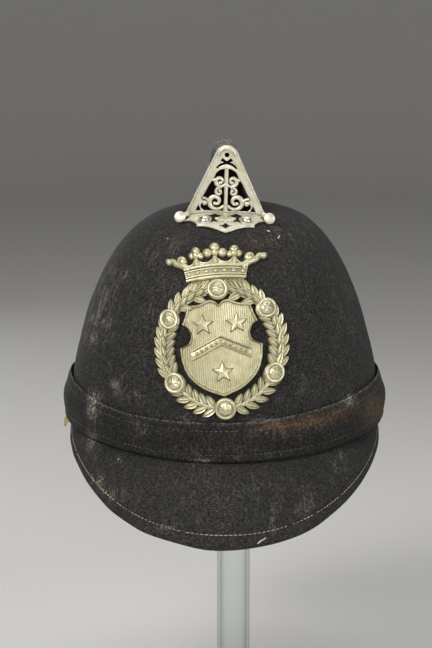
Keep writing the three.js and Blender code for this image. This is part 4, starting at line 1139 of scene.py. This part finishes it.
def make_bosses():
    """Each boss has a bead round its rim, a groove inside it, and a dome with low relief."""
    rim, groove = BOSS_RADIUS, 1.0
    bead = oval(0.14 * rim, 0.6, 0, 2.4, 8, (0.86 * rim, 0.75))
    cap = oval(0.68 * rim, BOSS_HEIGHT - groove, 0.05, pi / 2, 16, (0, groove))
    rows = [(rim, 0), *bead, (0.71 * rim, groove), *cap]
    for k, degrees in enumerate(BOSS_ANGLES):
        points = turned(rows, 48, (0, 0), BOSS_SEAT_TOP + SEAT)
        x, y, _ = np.moveaxis(points, -1, 0)
        turn, reach = np.arctan2(y, x), np.hypot(x, y) / rim
        points[..., 2] += 0.2 * np.cos(5 * turn + k) * hump(reach - 0.38, 0.13) + 0.35 * hump(reach, 0.15)
        points[..., :2] += wreath_point(degrees)
        node = f"badge_boss_{k + 1}"
        make(f"{node}_cast", Shape().grid(points).laid(on_badge), BOSS_METAL, node)


def make_coronet():
    half, flare = CORONET_RIM["half"], CORONET_RIM["flare"]
    shape = Shape()
    # Mouldings of the rim: where each starts and how wide it is, and its height above a lower ground.
    beads = [(0, 0.19, 2.5, 1.5), (0.22, 0.13, 2.3, 1.8), (0.63, 0.12, 2.3, 1.8), (0.78, 0.22, 2.7, 1.5)]
    across, out = [0], [SEAT]
    for start, width, high, low in beads:
        for t in np.linspace(0, pi, 9):
            across.append(start + width * (0.5 - 0.5 * math.cos(t)))
            out.append(low + (high - low) * math.sin(t) ** 0.6)
    across, out = np.array(across + [1.0]), np.array(out + [SEAT])
    u = np.linspace(-half, half, 49)[:, None]
    up = rim_foot(u) + (rim_top(u) - rim_foot(u)) * across
    rim = columns(u * (1 + flare * (across - 0.5)), up, out)
    shape.grid(rim)
    for end in (0, -1):
        shape.grid(np.stack([rim[end], rim[end] * (1, 1, 0) + (0, 0, SEAT)]))
    for at in np.linspace(-0.88 * half, 0.88 * half, 7):
        shape.grid(dome(at, 0.5 * (rim_foot(at) + rim_top(at)), 1.2, 1.6, 2.5))
    stems = [-half - 1.0, *sorted(row[0] for row in CORONET_FINIALS), half + 1.0]
    for left, right in zip(stems, stems[1:]):
        u = np.linspace(left, right, 25)
        edge = rim_top(u) + CORONET_DIP + CORONET_RISE * np.abs(np.linspace(-1, 1, 25)) ** 2.4
        low = rim_top(u) - 1
        rows = [(low, SEAT), (low, 1.8), (edge - 1.0, 1.8), (edge - 0.7, 2.2), (edge - 0.2, 2.3), (edge, 1.9)]
        shape.grid(np.stack([columns(u, v, w) for v, w in [*rows, (edge, SEAT)]], 1))
    for u, stem, crest, side, spread in CORONET_FINIALS:
        root, tip = rim_top(u), rim_top(u) + stem
        shape.grid(bar([(u, root), (u, root + 4), (u, tip)], (4.2, 3.0, 2.6), SEAT, 2.4))
        for x, y, r in ((u, tip + 1.15 * crest, crest), (u - spread, tip, side), (u + spread, tip, side)):
            shape.grid(dome(x, y, r, SEAT, SEAT + 1.2 * r))
        shape.grid(dome(u, tip, 2.5, SEAT, 4.2))
        shape.grid(bar([(u - spread, tip), (u, tip + 0.2), (u + spread, tip)], (3.2, 3.6, 3.2), SEAT, 3.3))
    (knob, knob_up, knob_radius), (tip, tip_up, tip_radius) = CORONET_KNOB, CORONET_TIP
    for side in (1, -1):
        end, lean = rim_top(side * half), side * CORONET_LEAN
        level, tip_level = knob_up + lean * knob, tip_up + lean * tip
        arm = [(half - 3, end - 1), (half + 0.4, end + 1.6), (knob + 1.6, level - 2.4),
               (knob + 4.6, level - 1.4), (tip - 3, tip_level + 0.4), (tip, tip_level)]
        shape.grid(bar(arch(on_side(side, arm), 8), (4.6, 4.4, 4.2, 4.2, 3.8, 3.4), SEAT, 3.0))
        curl = scroll(knob, level, knob_radius + 0.2, 1.0, 280, 1.1, side, 24)
        shape.grid(bar(curl, (1.8, 2.4, 1.8), SEAT, 3.4))
        shape.grid(dome(side * knob, level, knob_radius, SEAT, SEAT + 1.2 * knob_radius))
        shape.grid(dome(side * tip, tip_level, tip_radius + 0.6, SEAT, SEAT + 2.0 * tip_radius))
    shape = shape.laid(lambda points: on_badge(points + (CORONET_SHIFT, 0, 0)))
    make("badge_coronet_cast", shape, PALE_METAL, "badge_coronet", crease=60)


def star(u, v, outer, inner, rim, peak, foot):
    """A five-pointed star with facets that rise from its rim to its peak."""
    turn = pi / 2 + pi / 5 * np.arange(10)
    radius = np.where(np.arange(10) % 2, inner, outer)
    ring = columns(u + radius * np.cos(turn), v + radius * np.sin(turn), rim)
    points = np.vstack([ring, ring * (1, 1, 0) + (0, 0, foot), [[u, v, peak]]])
    sides = [(k, (k + 1) % 10) for k in range(10)]
    return points, [face for a, b in sides for face in ([a, b, 20], [a, 10 + a, 10 + b, b])]


def make_shield():
    right = smooth_curve([SHIELD_NOTCH, *SHIELD_RIGHT[:4]], 8)[:-1].tolist()
    for stretch in (SHIELD_RIGHT[3:6], SHIELD_RIGHT[5:10], [*SHIELD_RIGHT[9:], SHIELD_TIP]):
        right += smooth_curve(stretch, 8)[:-1].tolist()
    loop = np.array([*right, SHIELD_TIP, *[(-x, y) for x, y in reversed(right[1:])]])
    loop = np.vstack([loop, loop[:1]]) - (0, SHIELD_MIDDLE)
    # From the middle out over the field, and over the raised rim: part of the outline, and height.
    field = SHIELD_FIELD
    inside = [(part, field) for part in (0, *np.linspace(0.08, 0.93, 18))]
    rows = [*inside, (0.938, field + 0.1), (0.945, 1.9), (0.955, 2.3), (0.968, 2.5), (0.982, 2.4),
            (0.994, 2.05), (1.0, 1.7), (1.0, SEAT)]
    points = np.stack([columns(*(loop * scale + (0, SHIELD_MIDDLE)).T, out) for scale, out in rows])
    plate = Shape().grid(points)
    make("badge_shield_cast", plate.laid(on_badge), HATCHED_METAL, "badge_shield", crease=60)
    charges, grime_and_shade = Shape(), Shape()
    outer, inner, foot = STAR_RADIUS, 0.42 * STAR_RADIUS, field - 0.1
    for u, v in STARS:
        charges.add(*star(u, v, outer, inner, field + 1.2, field + 2.2, foot))
        # A dark star a little larger under each one: painted shade and grime round its foot.
        grime_and_shade.add(*star(u, v, outer + 1.1, inner + 0.6, field + 0.1, field + 0.15, foot))
    make("badge_shield_grime_and_shade", grime_and_shade.laid(on_badge), GRIME_AND_SHADE_METAL)
    for rise in (-2.5, 2.5):
        path = spaced(np.array(CHEVRON) + (0, rise), 41)
        charges.grid(bar(path, (1.1, 1.1), foot, field + 1.5))
    charges.grid(bar(spaced(CHEVRON, 41), (4.2, 4.2), foot, field + 0.8))
    for u, v in spaced(CHEVRON, 13)[1:-1]:
        charges.grid(dome(u, v, 0.95, field, field + 1.9))
    make("badge_shield_charges", charges.laid(on_badge), PALE_METAL, crease=25)


# Hook and stand

def make_hook():
    half = HOOK["strip"] / 2
    back = -PEAK_HALF_WIDTH - PEAK_WALL / 2 - SEAT - half
    top, reach = HOOK["top"], HOOK["reach"] - 2 * half
    foot = top - HOOK["height"] + half
    line = smooth_curve([(back, top), (back - 2.0, top - 0.8), (back - reach, foot + 4.0),
                         (back - reach - 1.1, foot + 0.2)], 8)
    step = np.gradient(line, axis=0)
    thick = half * (1 + 1.4 * np.sin(np.linspace(0, 0.95 * pi, len(line))) ** 2)[:, None]
    side = unit(columns(-step[:, 1], step[:, 0])) * thick
    outline = [*(line + side).tolist(), *(line - side)[::-1].tolist()]
    points, faces = pierced(outline, [], HOOK["width"], 0.25)
    strap = columns(points[:, 0], points[:, 2] - HOOK["width"] / 2, points[:, 1])
    make("side_hook_strip", Shape().add(strap, faces), BRASS, "side_hook", crease=40)


def make_stand():
    low, high = STAND_BASE["height"] + SEAT, BRIM_HEIGHT + STAND_HEAD_FOOT - SEAT
    inner, outer, bevel = POST["inner"], POST["outer"], 0.3
    rows = [(inner, low), (outer - bevel, low), (outer, low + bevel), (outer, high - bevel),
            (outer - bevel, high), (inner + bevel, high), (inner, high - bevel), (inner, low)]
    middle = (POST["x"], 0)
    tube = Shape().grid(turned(rows, 96, middle))
    make("stand_post_tube", tube, CLEAR, "stand_post", crease=30, lift=0)
    radius, height = STAND_BASE["radius"], STAND_BASE["height"]
    under, over = STAND_BASE["roundings"]
    lower = oval(under, under, -pi / 2, 0, 5, (radius - under, under))
    upper = oval(over, over, 0, pi / 2, 7, (radius - over, height - over))
    disc = Shape().grid(turned([(0, 0), *lower, *upper, (0, height)], 144, middle))
    make("stand_base_disc", disc, CLEAR, "stand_base", crease=30, lift=0)
    heights = np.interp(np.linspace(1, 0.76, 16) * PROFILE_LENGTH[-1], PROFILE_LENGTH, HEIGHT)
    cap = crown(circle(96), heights[:, None], -CROWN_WALL - SEAT - 0.3)
    foot = np.array([0, 0, STAND_HEAD_FOOT])
    pad = Shape().grid(np.concatenate([cap, cap[-1:] * (1, 1, 0) + foot, 0 * cap[-1:] + foot]))
    make("stand_head_pad", pad, CLEAR, "stand_head", crease=30)


# Floor, light and camera

def make_stage():
    paint = Paint("floor_paper", Base_Color=(0.82, 0.81, 0.79, 1), Roughness=0.85)
    grain = paint.noise((400,) * 3, 3)
    paint.set("Normal", paint.bump(grain, 0.0002, 0.15))
    radius, bend = FLOOR["radius"], FLOOR["bend"]
    rows = [(0, 0), *oval(bend, bend, -pi / 2, 0, 14, (radius - bend, bend)), (radius, FLOOR["wall"])]
    shape = Shape().grid(turned(rows, 72))
    mesh = bpy.data.meshes.new("floor")
    mesh.from_pydata(np.vstack(shape.points), [], shape.faces)
    mesh.shade_smooth()
    mesh.materials.append(paint.material)
    floor = add_object("floor", mesh)


def add_light(name, place, size, power, colour=(1, 1, 1), spread=180):
    data = bpy.data.lights.new(name, "AREA")
    data.spread = radians(spread)
    data.shape, data.size, data.size_y, data.energy, data.color = "RECTANGLE", *size, power, colour
    light = add_object(name, data)
    light.location = place
    target = Vector((0, 0, (BRIM_HEIGHT + VIEW_AIM) * MM))
    light.rotation_euler = (target - Vector(place)).to_track_quat("-Z", "Y").to_euler()


def make_lights():
    add_light("key", (-0.9, -1.2, 1.45), (0.7, 0.8), 20, (1.0, 0.98, 0.95))
    add_light("front", (0.1, -1.7, 0.85), (0.6, 0.4), 5)
    add_light("fill", (1.2, -1.1, 0.9), (0.6, 0.8), 8.5, (0.97, 0.98, 1.0))
    add_light("top", (0.1, 0.2, 1.7), (1.2, 1.0), 6.6)
    add_light("back", (-0.7, 1.9, 0.55), (0.8, 0.7), 1.2, spread=60)
    world = bpy.data.worlds.new("studio")
    world.use_nodes = True
    backdrop = next(node for node in world.node_tree.nodes if node.type == "BACKGROUND")
    backdrop.inputs["Color"].default_value = (0.95, 0.96, 1.0, 1)
    backdrop.inputs["Strength"].default_value = 0.1
    bpy.context.scene.world = world
    bpy.context.scene.view_settings.view_transform = "Standard"


def make_camera():
    data = bpy.data.cameras.new("camera")
    data.lens, data.sensor_width, data.sensor_fit, data.shift_x = VIEW_LENS, 36, "AUTO", VIEW_SHIFT
    camera = add_object("camera", data)
    back = Vector((0, -math.cos(VIEW_ELEVATION), math.sin(VIEW_ELEVATION)))
    camera.location = (Vector((0, 0, BRIM_HEIGHT + VIEW_AIM)) + back * VIEW_DISTANCE) * MM
    camera.rotation_euler = (-back).to_track_quat("-Z", "Y").to_euler()
    bpy.context.scene.camera = camera


make_camera()
make_crown()
make_band()
make_peak("front")
make_peak("back")
make_comb()
make_crest_plate()
make_wreath()
make_bosses()
make_coronet()
make_shield()
make_hook()
make_stand()
make_stage()
make_lights()
